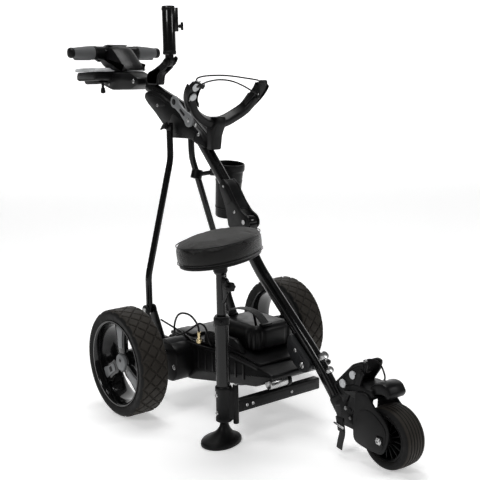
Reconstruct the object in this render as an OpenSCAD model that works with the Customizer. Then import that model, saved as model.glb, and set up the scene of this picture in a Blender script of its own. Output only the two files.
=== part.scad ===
// Electric golf trolley with a side seat, drawn at full size in millimetres.
// +X points forwards, +Y to the left, +Z up; the floor is Z = 0.
// Every part is placed from the middle of the rear axle, seen from above.

/* [Rear wheels] */
// Radius of a rear wheel over its tyre
rear_r = 140; // [130:1:150]
// Width of a rear tyre
rear_w = 80; // [70:1:84]
// Distance between the outer faces of the two rear wheels
track_w = 612; // [600:2:620]
// Radius of the rim where the tyre sits
rim_r = 113; // [108:1:118]

/* [Front wheel] */
// Radius of the front wheel
front_r = 71; // [68:1:74]
// Width of the front wheel
front_w = 60; // [56:1:62]
// Distance from the rear axle to the front axle
wheelbase = 682; // [676:1:690]

/* [Frame] */
// Place of the rear axle behind the middle of the whole trolley
axle_x = -101; // [-110:1:-95]
// Height of the main tube's flat oval section
tube_h = 33; // [30:1:34]
// Width of the main tube's flat oval section
tube_w = 26; // [24:1:27]
// Outer diameter of a rear strut
strut_d = 18; // [16:0.5:18]

/* [Seat] */
// Length of the seat cushion
seat_l = 262; // [260:2:280]
// Width of the seat cushion
seat_w = 182; // [170:2:190]
// Turn of the seat about its post
seat_turn = 25; // [0:2:30]
// Height of the cushion's top above the floor, at its middle
seat_top = 503; // [490:1:510]
// Lean of the cushion, its front left side up
seat_lean = 5.5; // [0:0.5:8]

/* [Umbrella holder] */
// Outer diameter of the umbrella tube
umbrella_d = 36; // [34:1:38]
// Inner diameter of the umbrella tube
umbrella_bore = 30; // [26:1:31]
// Height of the umbrella tube
umbrella_h = 131; // [120:2:140]

/* [Hidden] */

$fn = 64;

// Colours
shell_black = [0.07, 0.07, 0.075];
metal_black = [0.09, 0.09, 0.10];
tyre_black = [0.10, 0.10, 0.095];
pad_grey = [0.62, 0.62, 0.61];
plate_grey = [0.33, 0.33, 0.34];
silver = [0.75, 0.75, 0.76];
brass = [0.78, 0.62, 0.30];

// Clearances
run_gap = 0.05;    // radial gap of a pin or shaft in its bore
side_gap = 0.4;    // gap between faces of pieces that move past each other

// Wheels
wheel_y = track_w / 2 - rear_w / 2;
axle_r = 8;
front_axle_r = 5;
hub_r = 30;

// Frame points in the trolley's middle plane, as [x, z]
tube_top = [158, 474];
tube_bend_1 = [215, 388];
tube_bend_2 = [440, 190];
tube_end = [528, 88];
fold_at = [188, 498];
mid_low = [104, 576];
mid_high = [-8, 694];
handle_pivot = [-70, 772];
upper_low = [-86, 780];
upper_high = [-262, 844];
strut_foot = [-100, 236];
strut_top = [-113, 735];
strut_foot_y = 130;
strut_top_y = 35;
casing_w = 42;
slot_w = tube_w + 2 * side_gap;

// Seat
seat_x = 322;
seat_y = -196;
post_r = 11;
outer_r = 16.5;
socket_low = 52;
outer_low = 140;
outer_top = 312;
cushion_h = 54;
plate_h = 8;
seat_low = seat_top - cushion_h;
plate_low = seat_low - plate_h - 6;
foot_rod_r = 9;

// Umbrella holder
umbrella_x = -152;
umbrella_low = 928;
tilt_at = [-156, 908];

// Cup holder
cup_x = 1;
cup_y = 68;
cup_low = 485;
cup_h = 150;
cup_lean = 8;
cup_r = 41;
cup_pivot = [-38, 604];
cup_ear = 8;
cup_pin_r = 3;

// Helpers -------------------------------------------------------------

// Places a part from the rear axle
module at_axle() translate([axle_x, 0, 0]) children();

// A part and its mirror image on the other side of the middle plane
module both_sides() {
    children();
    mirror([0, 1, 0]) children();
}

// A round bar of radius r between two points
module rod(a, b, r) {
    v = b - a;
    translate(a) rotate([0, acos(v[2] / norm(v)), atan2(v[1], v[0])])
        cylinder(h = norm(v), r = r);
}

// Round bars through a list of points, with a ball at each bend
module bent_rod(points, r) {
    for (i = [0 : len(points) - 2]) rod(points[i], points[i + 1], r);
    for (i = [1 : len(points) - 2]) translate(points[i]) sphere(r + 0.3);
}

// A bar across the trolley, along Y, centred at y
module cross_bar(p, y, w, r)
    translate([p[0], y + w / 2, p[1]]) rotate([90, 0, 0]) cylinder(h = w, r = r);

// An outline in X and Z given a thickness w along Y, centred at y
module side_profile(points, y, w)
    translate([0, y, 0]) rotate([90, 0, 0])
        linear_extrude(height = w, center = true) polygon(points);

// A flat oval of height h and width w, rounded over its width
module flat_oval(h, w) {
    square([h - w, w], center = true);
    for (s = [-1, 1]) translate([s * (h - w) / 2, 0]) circle(d = w);
}

// A flat oval bar between two points of the middle plane
module oval_bar(a, b, h, w) {
    v = b - a;
    translate([a[0], 0, a[1]]) rotate([0, 90 - atan2(v[1], v[0]), 0])
        linear_extrude(height = norm(v)) flat_oval(h, w);
}

// A box given by its lowest and highest corners
module block(lo, hi) translate(lo) cube(hi - lo);

// Points of an arc from angle a0 to a1 in n steps, about c, with radius r
function arc(c, r, a0, a1, n) =
    [for (i = [0 : n]) c + r * [cos(a0 + (a1 - a0) * i / n), sin(a0 + (a1 - a0) * i / n)]];

// Rear wheels ----------------------------------------------------------

// A ring profile turned about an axle along Y at height z
module wheel_turn(x, y, z) translate([x, y, z]) rotate([-90, 0, 0]) rotate_extrude() children();

// One side's wheel is drawn on the left, and mirrored for the right
module on_side(side) mirror([0, side < 0 ? 1 : 0, 0]) children();

// Tyre: a broad tread with rounded shoulders
module tyre(side) at_axle() color(tyre_black) on_side(side) wheel_turn(0, wheel_y, rear_r) {
    hw = rear_w / 2;
    polygon(concat(
        [[rim_r, -hw + 4]],
        arc([rear_r - 12, -hw + 12], 12, -90, 0, 8),
        arc([rear_r - 12, hw - 12], 12, 0, 90, 8),
        [[rim_r, hw - 4]]
    ));
}

// Rim: a barrel, a hub on the axle and three broad spokes set back in it
spoke_y = 12;      // middle of the spokes, outwards from the wheel's middle
spoke_t = 14;
spoke_turns = [90, 210, 330];
hub_out = 14;      // outer face of the hub, from the wheel's middle
module spoke_outline(inner, inner_w, outer, outer_w) polygon([
    [inner, -inner_w / 2], [outer, -outer_w / 2], [outer, outer_w / 2], [inner, inner_w / 2]
]);
module at_spokes() translate([0, wheel_y + spoke_y, rear_r]) rotate([-90, 0, 0])
    for (a = spoke_turns) rotate([0, 0, a + 180]) children();
module rim(side) at_axle() color(shell_black) on_side(side) {
    wall = 5;
    hw = rear_w / 2 - 4;
    wheel_turn(0, wheel_y, rear_r) {
        translate([rim_r - wall, -hw]) square([wall - 0.02, 2 * hw]);
        translate([axle_r + run_gap, -hw]) square([hub_r - axle_r, hw + hub_out]);
    }
    at_spokes() translate([0, 0, -spoke_t / 2]) linear_extrude(height = spoke_t)
        spoke_outline(hub_r - 4, 40, rim_r - 3, 64);
}

// Trim: hub cap and the silver panels on the spokes
module wheel_trim(side) at_axle() color(silver) on_side(side) {
    translate([0, wheel_y + hub_out + 0.02, rear_r]) rotate([-90, 0, 0]) cylinder(h = 10, r = 23);
    at_spokes() translate([0, 0, spoke_t / 2 + 0.02]) linear_extrude(height = 1.5)
        spoke_outline(hub_r + 8, 22, rim_r - 13, 36);
}

module tyre_right() tyre(-1);
module tyre_left() tyre(1);
module rim_right() rim(-1);
module rim_left() rim(1);
module trim_right() wheel_trim(-1);
module trim_left() wheel_trim(1);

// Axles: a stub at each rear wheel and the front wheel's axle
motor_r = 36;
motor_out = 148;
axle_out = 279;    // end of each stub
module axles() at_axle() color(silver) {
    both_sides() cross_bar([0, rear_r], (motor_out - 40 + axle_out) / 2, axle_out - motor_out + 40, axle_r);
    cross_bar([wheelbase, front_r], 0, 92, front_axle_r);
}

// Front wheel ----------------------------------------------------------

front_rim_r = 52;
module front_tyre() at_axle() color(tyre_black) wheel_turn(wheelbase, 0, front_r) {
    hw = front_w / 2;
    polygon(concat(
        [[front_rim_r, -hw + 3]],
        arc([front_r - 9, -hw + 9], 9, -90, 0, 6),
        arc([front_r - 9, hw - 9], 9, 0, 90, 6),
        [[front_rim_r, hw - 3]]
    ));
}

module front_hub() at_axle() color(shell_black) wheel_turn(wheelbase, 0, front_r) {
    translate([front_rim_r - 6, -26]) square([5.98, 52]);
    translate([14, -6]) square([front_rim_r - 18, 12]);
    translate([front_axle_r + run_gap, -30]) square([12, 60]);
}

// Fork: two cheeks, the arch over the wheel and the stem round the tube's end
fork_in = front_w / 2 + 5;
cheek_t = 6;
module fork() at_axle() color(metal_black) difference() {
    union() {
        both_sides() side_profile([
            [606, 168], [599, 80], [598, 46], [636, 38], [688, 37], [702, 62],
            [708, 92], [701, 112], [686, 125], [664, 139], [643, 168]
        ], fork_in + cheek_t / 2, cheek_t);
        side_profile([[556, 152], [600, 178], [652, 174], [652, 152], [636, 148], [598, 140]], 0, 2 * fork_in + 1);
        side_profile([
            [630, 150], [634, 176], [652, 190], [672, 195], [688, 190], [698, 172],
            [692, 160], [676, 164], [654, 158]
        ], 0, 56);
        side_profile([[496, 116], [540, 60], [598, 56], [603, 100], [606, 146], [556, 153]], 0, 44);
    }
    cross_bar([wheelbase, front_r], 0, 120, front_axle_r + 0.01);
    oval_bar(tube_bend_2, tube_end, tube_h + 0.04, tube_w + 0.04);
}

// Main frame -----------------------------------------------------------

knuckle_r = 17;
pin_r = 6;
module main_tube() at_axle() color(metal_black) difference() {
    union() {
        oval_bar(tube_top, tube_bend_1, tube_h, tube_w);
        oval_bar(tube_bend_1, tube_bend_2, tube_h, tube_w);
        oval_bar(tube_bend_2, tube_end, tube_h, tube_w);
        for (p = [tube_bend_1, tube_bend_2]) cross_bar(p, 0, 16, tube_h / 2 - 0.5);
        cross_bar(fold_at, 0, tube_w, knuckle_r);
        side_profile([[150, 460], [196, 440], fold_at + [14, -10], fold_at + [-8, 15]], 0, tube_w - 4);
    }
    cross_bar(fold_at, 0, 40, pin_r + 0.01);
}

module fold_pin() at_axle() color(silver) cross_bar(fold_at, 0, 42, pin_r);

// Grey side plates that carry the tube over the base
bracket_t = 10;
module fold_bracket() at_axle() color(plate_grey) both_sides() difference() {
    side_profile([
        [342, 198], [348, 238], [366, 246], [440, 184], [432, 158], [404, 152], [372, 170]
    ], tube_w / 2 + 0.01 + bracket_t / 2, bracket_t);
    cross_bar([410, 174], 0, 60, 5.01);
}

// Chassis --------------------------------------------------------------

// Lower shell: a tray that carries the motors and reaches out to both wheels
shell_w = 196;
shell_wall = 6;
arm_out = 150;
module base_shell() at_axle() color(shell_black) difference() {
    union() {
        side_profile([
            [-66, 150], [-60, 84], [-40, 66], [34, 62], [230, 98], [320, 112], [386, 146],
            [386, 158], [336, 166], [230, 176], [60, 168], [-60, 168]
        ], 0, shell_w);
        both_sides() side_profile([
            [-46, 150], [-44, 84], [-30, 66], [34, 64], [58, 92], [58, 150], [34, 168], [-34, 168]
        ], (shell_w / 2 + arm_out) / 2, arm_out - shell_w / 2 + 0.02);
    }
    side_profile([
        [-58, 106], [-54, 88], [-38, 74], [32, 70], [226, 106], [300, 116], [336, 140],
        [336, 190], [-58, 190]
    ], 0, shell_w - 2 * shell_wall);
    cross_bar([0, rear_r], 0, 320, motor_r + 0.02);
    cross_bar([412, 174], 0, 60, 5.01);
}

// Upper cover: the deck that the battery stands on, with two side rails
deck_w = shell_w - 2 * shell_wall - 0.6;
module base_cover() at_axle() color(shell_black) difference() {
    union() {
        side_profile([
            [-57, 168.2], [60, 168.2], [230, 176], [335, 166], [335, 174], [230, 184], [60, 178], [-57, 178]
        ], 0, deck_w);
        both_sides() side_profile([[96, 178], [102, 206], [236, 206], [262, 182]], 82, 12);
    }
    cross_bar([0, rear_r], 0, 320, motor_r + 0.02);
}

// Motors with in-line gearboxes, one for each rear wheel
module motors() at_axle() color(plate_grey) both_sides() difference() {
    cross_bar([0, rear_r], (motor_out + 20) / 2, motor_out - 20, motor_r);
    cross_bar([0, rear_r], motor_out, 80, axle_r + 0.01);
}

module controller() at_axle() color(plate_grey) block([110, -50, 124], [200, 50, 160]);

// Feet of the rear struts: two ears each, and the hinge pin
ear_t = 6;
ear_gap = strut_d / 2 + 0.9;   // room for the strut's lean
strut_pin_r = 4;
module strut_feet() at_axle() color(shell_black) both_sides() {
    for (s = [-1, 1])
        side_profile(concat(
            [[-52, 150], [-48, 168], [-60, 190]],
            arc(strut_foot, 14, 0, 180, 8),
            [[-112, 196], [-84, 150]]
        ), strut_foot_y + s * (ear_gap + ear_t / 2), ear_t);
    block([-84, strut_foot_y - ear_gap - 20, 150], [-50, strut_foot_y - ear_gap - ear_t + 0.01, 164]);
    block([-84, strut_foot_y - ear_gap - 0.01, 150], [-56, strut_foot_y + ear_gap + 0.01, 160]);
    cross_bar(strut_foot, strut_foot_y, 2 * (ear_gap + ear_t) + 6, strut_pin_r);
}

module stay_rods() at_axle() color(metal_black) both_sides()
    bent_rod([[-84, 104, 205], [30, 104, 188], [72, 101, 172], [100, 94, 184.5]], 2.5);

module chassis_fasteners() at_axle() color(silver) {
    both_sides() {
        cross_bar([44, 108], arm_out + 2, 4, 6);
        cross_bar([410, 174], 25, 6, 7);
    }
    cross_bar([410, 174], 0, 48, 5);
    cross_bar([366, 130], -62, 66, 13);
    translate([452, 0, 196]) rotate([0, 50, 0]) cylinder(h = 20, r = 11);
    translate([474, 0, 168]) rotate([0, 50, 0]) cylinder(h = 16, r = 9);
}

// Battery --------------------------------------------------------------

battery_lo = [118, -66, 186];
battery_hi = [284, 66, 246];
strap_y = -20;
module battery_box() at_axle() color(shell_black) block(battery_lo, battery_hi);
module battery_strap() at_axle() color(metal_black)
    side_profile([
        [128, 246.02], [136, 266], [190, 276], [236, 272], [276, 246.02],
        [268, 246.02], [232, 267], [190, 271], [141, 261], [134, 246.02]
    ], strap_y, 26);

// Battery lead: one free loop from the cover to its plug
lead_r = 2.6;
lead_route = [
    [150, -95, 181], [152, -106, 186], [154, -114, 200], [154, -118, 220], [146, -121, 236],
    [130, -123, 240], [112, -124, 232], [84, -125, 214], [56, -125, 200], [32, -124, 190],
    [14, -121, 185], [2, -117, 190], [-2, -115, 204], [4, -115, 222], [18, -117, 238],
    [38, -119, 249], [60, -120, 253], [82, -120, 252], [102, -120, 243],
    [116, -120, 230], [120, -120, 216]
];

// A tube of eight sides swept along a route
function unit(v) = v / norm(v);
function along(p, i) = unit(p[min(i + 1, len(p) - 1)] - p[max(i - 1, 0)]);
function ring(c, d, r) =
    let (s = unit(cross(d, abs(d[1]) < 0.9 ? [0, 1, 0] : [1, 0, 0])), t = cross(s, d))
    [for (k = [0 : 7]) c + r * (cos(45 * k) * s + sin(45 * k) * t)];
module cord_tube(p, r) {
    n = len(p);
    polyhedron(
        points = [for (i = [0 : n - 1]) for (q = ring(p[i], along(p, i), r)) q],
        faces = concat(
            [[for (k = [7 : -1 : 0]) k]],
            [for (i = [0 : n - 2]) for (k = [0 : 7])
                [i * 8 + k, i * 8 + (k + 1) % 8, (i + 1) * 8 + (k + 1) % 8, (i + 1) * 8 + k]],
            [[for (k = [0 : 7]) (n - 1) * 8 + k]]
        )
    );
}

module battery_lead() at_axle() color(metal_black) cord_tube(lead_route, lead_r);

module battery_plug() at_axle() color(brass) translate([120, -120, 0]) {
    translate([0, 0, 190]) cylinder(h = 26, r = 5);
    translate([0, 0, 186]) cylinder(h = 10, r = 8);
}

// Struts ---------------------------------------------------------------

module struts() at_axle() color(metal_black) both_sides() difference() {
    bent_rod([
        [strut_foot[0], strut_foot_y, strut_foot[1] - 8], [-102, 128, 330],
        [-112, 36, 645], [strut_top[0], strut_top_y, strut_top[1] + 6]
    ], strut_d / 2);
    cross_bar(strut_foot, strut_foot_y, 60, strut_pin_r + run_gap);
    cross_bar(strut_top, strut_top_y, 60, 4.01);
}

// Wing nuts at the struts' upper ends, each with its bolt
module strut_nuts() at_axle() color(shell_black) both_sides() {
    cross_bar(strut_top, strut_top_y + 4, 24, 4);
    cross_bar(strut_top, strut_top_y + 12, 6, 9);
    side_profile([strut_top + [-20, -12], strut_top + [-4, 6], strut_top + [18, 14], strut_top + [4, -6]],
        strut_top_y + 18, 5.98);
}

// Cup holder on the left strut: a clamp with an arm, and the leaning cup
clamp_z = 596;
module cup_clamp() at_axle() color(shell_black) difference() {
    union() {
        translate([-110.5, 50, clamp_z]) rotate([-16.5, 0, 0]) cylinder(h = 26, r = 16, center = true);
        rod([-100, 52, clamp_z], [cup_pivot[0] - 18, cup_y - 4, cup_pivot[1]], 6);
        for (s = [-1, 1]) side_profile(concat(
            arc(cup_pivot, 9, -90, 90, 12), [cup_pivot + [-22, 9], cup_pivot + [-22, -9]]
        ), cup_y + s * (cup_ear / 2 + side_gap + 2.5), 5);
        block([cup_pivot[0] - 24, cup_y - 8, cup_pivot[1] - 9.5], [cup_pivot[0] - 12, cup_y + 8, cup_pivot[1] + 9.5]);
        cross_bar(cup_pivot, cup_y, cup_ear + 2 * side_gap + 14, cup_pin_r);
    }
    translate([-110.5, 50, clamp_z]) rotate([-16.5, 0, 0])
        cylinder(h = 60, r = strut_d / 2 + 0.02, center = true);
}
module cup_holder() at_axle() color(shell_black) difference() {
    union() {
        translate([cup_x, cup_y, cup_low]) rotate([0, cup_lean, 0]) {
            translate([0, 0, cup_h - 18]) cylinder(h = 18, r = cup_r);
            cylinder(h = cup_h - 17, r1 = 31, r2 = 38);
        }
        side_profile(concat(arc(cup_pivot, 8, 90, 270, 12), [[-14, 596], [-14, 612]]), cup_y, cup_ear);
    }
    translate([cup_x, cup_y, cup_low]) rotate([0, cup_lean, 0]) translate([0, 0, 4])
        cylinder(h = cup_h, r1 = 28, r2 = 36);
    cross_bar(cup_pivot, cup_y, cup_ear + 2, cup_pin_r + run_gap);
}

// Upper frame ----------------------------------------------------------

// Fold casing: two cheeks round the knuckle, closed above it
module lower_casing() at_axle() color(shell_black) difference() {
    side_profile(concat(
        [[122, 480], [112, 528], [84, 586], [100, 606], [122, 590], [158, 542]],
        arc(fold_at, 20, 60, -110, 12)
    ), 0, 38);
    side_profile([
        [100, 440], [116, 489], [144, 510], [176, 526], [230, 526], [230, 440]
    ], 0, slot_w);
    cross_bar(fold_at, 0, 80, pin_r + run_gap);
    oval_bar(mid_low, mid_high, tube_h + 0.04, tube_w + 0.04);
}
module mid_tube() at_axle() color(metal_black) oval_bar(mid_low, mid_high, tube_h, tube_w);

// Handle casing: two half shells bolted round the tubes
module casing_half(side) color(shell_black) difference() {
    side_profile([
        [-262, 812], [-256, 826], [-230, 832], [-180, 822], [-110, 788], [-40, 752], [10, 718], [30, 694],
        [30, 676], [-6, 686], [-40, 700], [-134, 700], [-160, 728], [-206, 768], [-244, 794]
    ], side * casing_w / 4, casing_w / 2 - 0.02);
    oval_bar(mid_low, mid_high, tube_h + 0.02, tube_w + 0.02);
    side_profile([
        handle_pivot + [10, -26], handle_pivot + [26, 0], handle_pivot + [16, 30], [-150, 850], [-300, 900],
        [-300, 770], [-170, 780]
    ], 0, slot_w);
    cross_bar(handle_pivot, 0, 80, 5.01);
}
module casing_right() at_axle() casing_half(-1);
module casing_left() at_axle() casing_half(1);

// Bolts of the casing, and the pin that the handle tilts on
module upper_screws() at_axle() color(silver) {
    cross_bar(handle_pivot, 0, casing_w, 5);
    for (p = [[-8, 738], [4, 714], [-190, 790]])
        cross_bar(p, -casing_w / 2 - 1.48, 3, 5);
}

// Latch lever: a bone-shaped bar on the right side of the casing
latch_pivot = [-96, 800];
latch_tip = [-32, 752];
module latch_lever() at_axle() color(pad_grey) {
    cross_bar(latch_pivot, -casing_w / 2 - 4.4, 8, 17);
    cross_bar(latch_tip, -casing_w / 2 - 4.4, 8, 19);
    side_profile([
        latch_pivot + [-6, -13], latch_tip + [-6, -15], latch_tip + [10, 12], latch_pivot + [10, 12]
    ], -casing_w / 2 - 4.4, 7.9);
}

// Upper bag cradle: yoke, two arms with pads, and two elastic cords
yoke_mid = [56, 0, 748];
yoke_root = [64, 66, 768];
arm_mid = [90, 100, 808];
arm_tip = [124, 106, 852];
module upper_yoke() at_axle() color(shell_black) difference() {
    union() {
        side_profile([[28, 674], [56, 672], [62, 712], [80, 740], [78, 762], [44, 762], [32, 730]], 0, 30);
        both_sides() rod(yoke_mid, yoke_root, 15);
    }
    oval_bar(mid_low, mid_high, tube_h + 0.02, tube_w + 0.02);
    side_profile([[10, 730], [30.02, 700], [30.02, 640], [-40, 640], [-40, 730]], 0, casing_w + 2);
}
module upper_arms() at_axle() color(shell_black) both_sides() difference() {
    bent_rod([yoke_root + [1, 2, 1], arm_mid, arm_tip], 13);
    rod(yoke_mid, yoke_root + (yoke_root - yoke_mid) * 0.001, 15.02);
}
module upper_pads() at_axle() color(pad_grey) both_sides() for (t = [0.25, 0.75])
    translate(arm_mid + t * (arm_tip - arm_mid) + [9.2, -9.2, 0])
        rotate([90, 0, 45]) cylinder(h = 3, r = 9);
module upper_cords() at_axle() color(metal_black) {
    cord_tube([
        [120, -106, 856], [124, -102, 862], [126, -80, 866], [126, -40, 867], [124, 0, 865], [122, 50, 859],
        [119, 88, 854], [117, 96, 852]
    ], 2);
    cord_tube([
        [134, -98, 846], [140, -84, 852], [142, -50, 856], [140, -10, 852], [134, 30, 840], [126, 66, 826],
        [118, 92, 816]
    ], 2);
    translate([115, 94, 826]) rotate([0, 12, 0]) cube([10, 6, 44], center = true);
}

// Handle ---------------------------------------------------------------

module upper_tube() at_axle() color(metal_black) difference() {
    union() {
        oval_bar(upper_low, upper_high, tube_h, tube_w);
        cross_bar(handle_pivot, 0, tube_w, tube_h / 2);
    }
    cross_bar(handle_pivot, 0, 60, 5 + run_gap);
}

grip_z = 944;
grip_x = -448;
module handle_body() at_axle() color(shell_black) difference() {
    union() {
        cross_bar([grip_x, grip_z], 0, 150, 20);
        side_profile([
            [-500, 930], [-490, 960], [-440, 968], [-400, 958], [-340, 904], [-330, 889], [-440, 889],
            [-470, 904]
        ], 0, 84);
    }
    translate([-486, -30, 936]) rotate([0, -100, 0]) cylinder(h = 40, r = 13);
}
module handle_grips() at_axle() color(pad_grey) both_sides() {
    translate([grip_x, 75.02, grip_z]) rotate([-90, 0, 0]) cylinder(h = 66, r1 = 20, r2 = 16);
    translate([grip_x, 141, grip_z]) rotate([-90, 0, 0]) cylinder(h = 14, r = 16);
}
module speed_dial() at_axle() color(metal_black)
    translate([-486, -30, 936]) rotate([0, -100, 0]) cylinder(h = 14, r = 12.6);

// Console under the handle: a tray, its rim, and the neck on the tube
console_lo = [-540, -85, 862];
console_hi = [-420, 85, 888];
module console_body() at_axle() color(shell_black) difference() {
    union() {
        block(console_lo, console_hi);
        side_profile([
            [-478, 888], [-478, 846], [-430, 832], [-320, 832], [-276, 848], [-276, 868], [-330, 888]
        ], 0, 60);
    }
    oval_bar(upper_low, upper_high, tube_h + 0.02, tube_w + 0.02);
    translate([-446, -48, 840]) cylinder(h = 36, r = 4 + run_gap);
}
module console_top() at_axle() color(pad_grey) difference() {
    block([console_lo[0] - 3, console_lo[1] - 3, 888.02], [console_hi[0] + 3, console_hi[1] + 3, 900]);
    side_profile([
        [-502, 928], [-470, 903], [-442, 887], [-320, 887], [-330, 940]
    ], 0, 84.04);
}
module console_screw() at_axle() color(shell_black) translate([-446, -48, 0]) {
    translate([0, 0, 842]) cylinder(h = 32, r = 4);
    translate([0, 0, 828]) cylinder(h = 14, r = 6);
    translate([-10, -2, 824]) cube([20, 4, 14]);
}

// Umbrella holder --------------------------------------------------------

module umbrella_bracket() at_axle() color(shell_black) difference() {
    side_profile(concat(
        [[-256, 846], [-200, 844], [-196, 872], [-150, 896]],
        arc(tilt_at, 12, -30, 150, 12),
        [[-186, 904], [-214, 892], [-246, 886], [-258, 872]]
    ), 0, 24.8);
    cross_bar(tilt_at, 0, 60, 3.01);
    oval_bar(upper_low, upper_high, tube_h + 0.04, tube_w + 0.04);
    side_profile(arc(tilt_at, 13, 0, 345, 23), 0, 14.8);
    side_profile([tilt_at + [-13, 0], tilt_at + [30, -13], tilt_at + [30, 40], tilt_at + [-30, 40]], 0, 14.8);
}
// Umbrella tube with its foot, side rib and tilt tongue
module umbrella_tube() at_axle() color(metal_black) difference() {
    union() {
        translate([umbrella_x, 0, umbrella_low]) {
            cylinder(h = umbrella_h, d = umbrella_d);
            rotate([0, 0, screw_turn]) translate([umbrella_d / 2 - 3, -5, 62]) cube([11, 10, umbrella_h - 66]);
        }
        side_profile(arc(tilt_at, 12, 0, 345, 23), 0, 14);
        block([tilt_at[0] - 10, -7, tilt_at[1]], [tilt_at[0] + 14, 7, umbrella_low + 1]);
    }
    translate([umbrella_x, 0, umbrella_low + 8]) cylinder(h = umbrella_h, d = umbrella_bore);
    cross_bar(tilt_at, 0, 60, 3 + run_gap);
    at_umbrella_screw() cylinder(h = 60, r = 3 + run_gap);
}
screw_turn = 45;   // side of the socket that the screw is on, from +X towards +Y
screw_z = 76;
module at_umbrella_screw() translate([umbrella_x, 0, umbrella_low + screw_z])
    rotate([0, 0, screw_turn]) rotate([0, 90, 0]) children();
module umbrella_screw() at_axle() color(shell_black) at_umbrella_screw() {
    translate([0, 0, umbrella_bore / 2 + 1]) cylinder(h = 20, r = 3);
    translate([0, 0, umbrella_bore / 2 + 13]) cylinder(h = 10, r = 5);
    translate([-10, -2.5, umbrella_bore / 2 + 18]) cube([20, 5, 8]);
}

// Seat -------------------------------------------------------------------

module at_seat() at_axle() translate([seat_x, seat_y, 0]) children();

// Leans the cushion and its plate, drawn from the cushion's underside
module lean_seat() translate([0, 0, seat_low + cushion_h / 2])
    rotate(a = seat_lean, v = [0.79, -0.61, 0]) translate([0, 0, -cushion_h / 2]) children();

module seat_cushion() at_seat() color(shell_black) lean_seat() rotate([0, 0, seat_turn])
    linear_extrude(height = cushion_h)
        polygon([for (a = [0 : 7.5 : 352.5]) [seat_w / 2 * cos(a), seat_l / 2 * sin(a)]]);
module seat_plate() at_seat() color(metal_black) difference() {
    union() {
        lean_seat() translate([0, 0, -plate_h]) cylinder(h = plate_h - 0.02, r = 30);
        translate([0, 0, plate_low]) cylinder(h = 8, r = 14);
    }
    translate([0, 0, plate_low - 1]) cylinder(h = 7, r = 7 + run_gap);
}
module seat_post() at_seat() color(metal_black) difference() {
    union() {
        translate([0, 0, 205]) cylinder(h = plate_low - 205 - 14, r = post_r);
        translate([0, 0, plate_low - 24]) cylinder(h = 23.6, r = 15);
        translate([0, 0, plate_low - 1]) cylinder(h = 6, r = 7);
        translate([0, 5, 0]) rotate([90, 0, 0]) linear_extrude(height = 10)
            polygon([[6, 345], [13, 345], [26, 372], [26, 396], [6, 396]]);
    }
    translate([0, 0, knob_z]) rotate([0, 90, 0]) cylinder(h = 40, r = 4 + run_gap);
}
knob_z = 386;
module seat_knob() at_seat() color(shell_black) translate([0, 0, knob_z]) rotate([0, 90, 0]) {
    translate([0, 0, 2]) cylinder(h = 30, r = 4);
    translate([0, 0, 27]) cylinder(h = 18, r = 10);
}
module seat_outer_tube() at_seat() color(metal_black) translate([0, 0, outer_low]) difference() {
    cylinder(h = outer_top - outer_low, r = outer_r);
    translate([0, 0, 20]) cylinder(h = 400, r = post_r + run_gap);
    translate([0, 0, -1]) cylinder(h = 12, r = foot_rod_r + run_gap);
}
// Socket: a casting round the foot's rod, with the flange for the bar
module seat_socket() at_seat() color(shell_black) difference() {
    union() {
        translate([0, 0, socket_low]) cylinder(h = outer_low - socket_low - 0.02, r = 20);
        translate([24, 18, socket_low - 4]) cylinder(h = 96, r = 7);
        socket_flange();
    }
    translate([0, 0, 0]) cylinder(h = 200, r = foot_rod_r + run_gap);
}
module socket_flange() translate([0, 0, socket_low + 6]) linear_extrude(height = 76)
    polygon([[8, -14], [26, 12], [20, 24], [-6, 18]]);
bar_lo = [325, -172, 72];
bar_hi = [347, 92, 102];
module seat_bar() at_axle() color(shell_black) {
    block(bar_lo, bar_hi);
}
module seat_foot() at_seat() color(tyre_black) {
    translate([0, -10, 0]) rotate([0, 0, 20]) linear_extrude(height = 12)
        polygon([for (a = [0 : 10 : 350]) [44 * cos(a), 58 * sin(a)]]);
    translate([0, -4, 12]) cylinder(h = 30, r1 = 36, r2 = 12);
    translate([0, 0, 30]) cylinder(h = 118, r = foot_rod_r);
}

// Lower bag cradle ---------------------------------------------------------

cradle_y = 24;
cradle_t = 7;
module lower_cradle() at_axle() color(shell_black) both_sides() side_profile([
    [522, 158], [584, 219], [612, 231], [627, 228], [622, 206], [586, 158], [548, 128]
], cradle_y, cradle_t);
module lower_pads() at_axle() color(pad_grey) both_sides() for (p = [[555, 167], [587, 194]])
    cross_bar(p, cradle_y + cradle_t / 2 + 1.5, 2.96, 10);
module lower_strap() at_axle() color(metal_black) side_profile([
    [540, 118], [566, 118], [576, 60], [566, 14], [550, 16], [556, 60]
], -44, 3);
module lower_cords() at_axle() color(metal_black)
    cord_tube([
        [616, -20, 233], [624, -12, 236], [634, -2, 232], [642, 4, 222], [646, 8, 208], [648, 10, 196],
        [646, 10, 184]
    ], 2);

base_shell();
base_cover();
motors();
controller();
axles();
main_tube();
fold_bracket();
fork();
lower_cradle();
lower_pads();
lower_strap();
lower_cords();
fold_pin();
chassis_fasteners();
strut_feet();
stay_rods();
battery_lead();
battery_plug();
seat_bar();
seat_socket();
seat_outer_tube();
tyre_right();
rim_right();
trim_right();
tyre_left();
rim_left();
trim_left();
front_tyre();
front_hub();
battery_box();
battery_strap();
struts();
strut_nuts();
cup_clamp();
cup_holder();
lower_casing();
mid_tube();
casing_right();
casing_left();
upper_yoke();
upper_arms();
upper_pads();
upper_cords();
upper_screws();
latch_lever();
upper_tube();
handle_body();
handle_grips();
speed_dial();
console_body();
console_top();
console_screw();
umbrella_bracket();
umbrella_tube();
umbrella_screw();
seat_post();
seat_knob();
seat_plate();
seat_cushion();
seat_foot();
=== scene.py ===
"""The electric golf trolley's looks: tyres, shells, tubes, bag cradles, handle and seat on their frame."""

import math

import bmesh
import bpy
import numpy as np
from mathutils import Matrix, Vector


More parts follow.
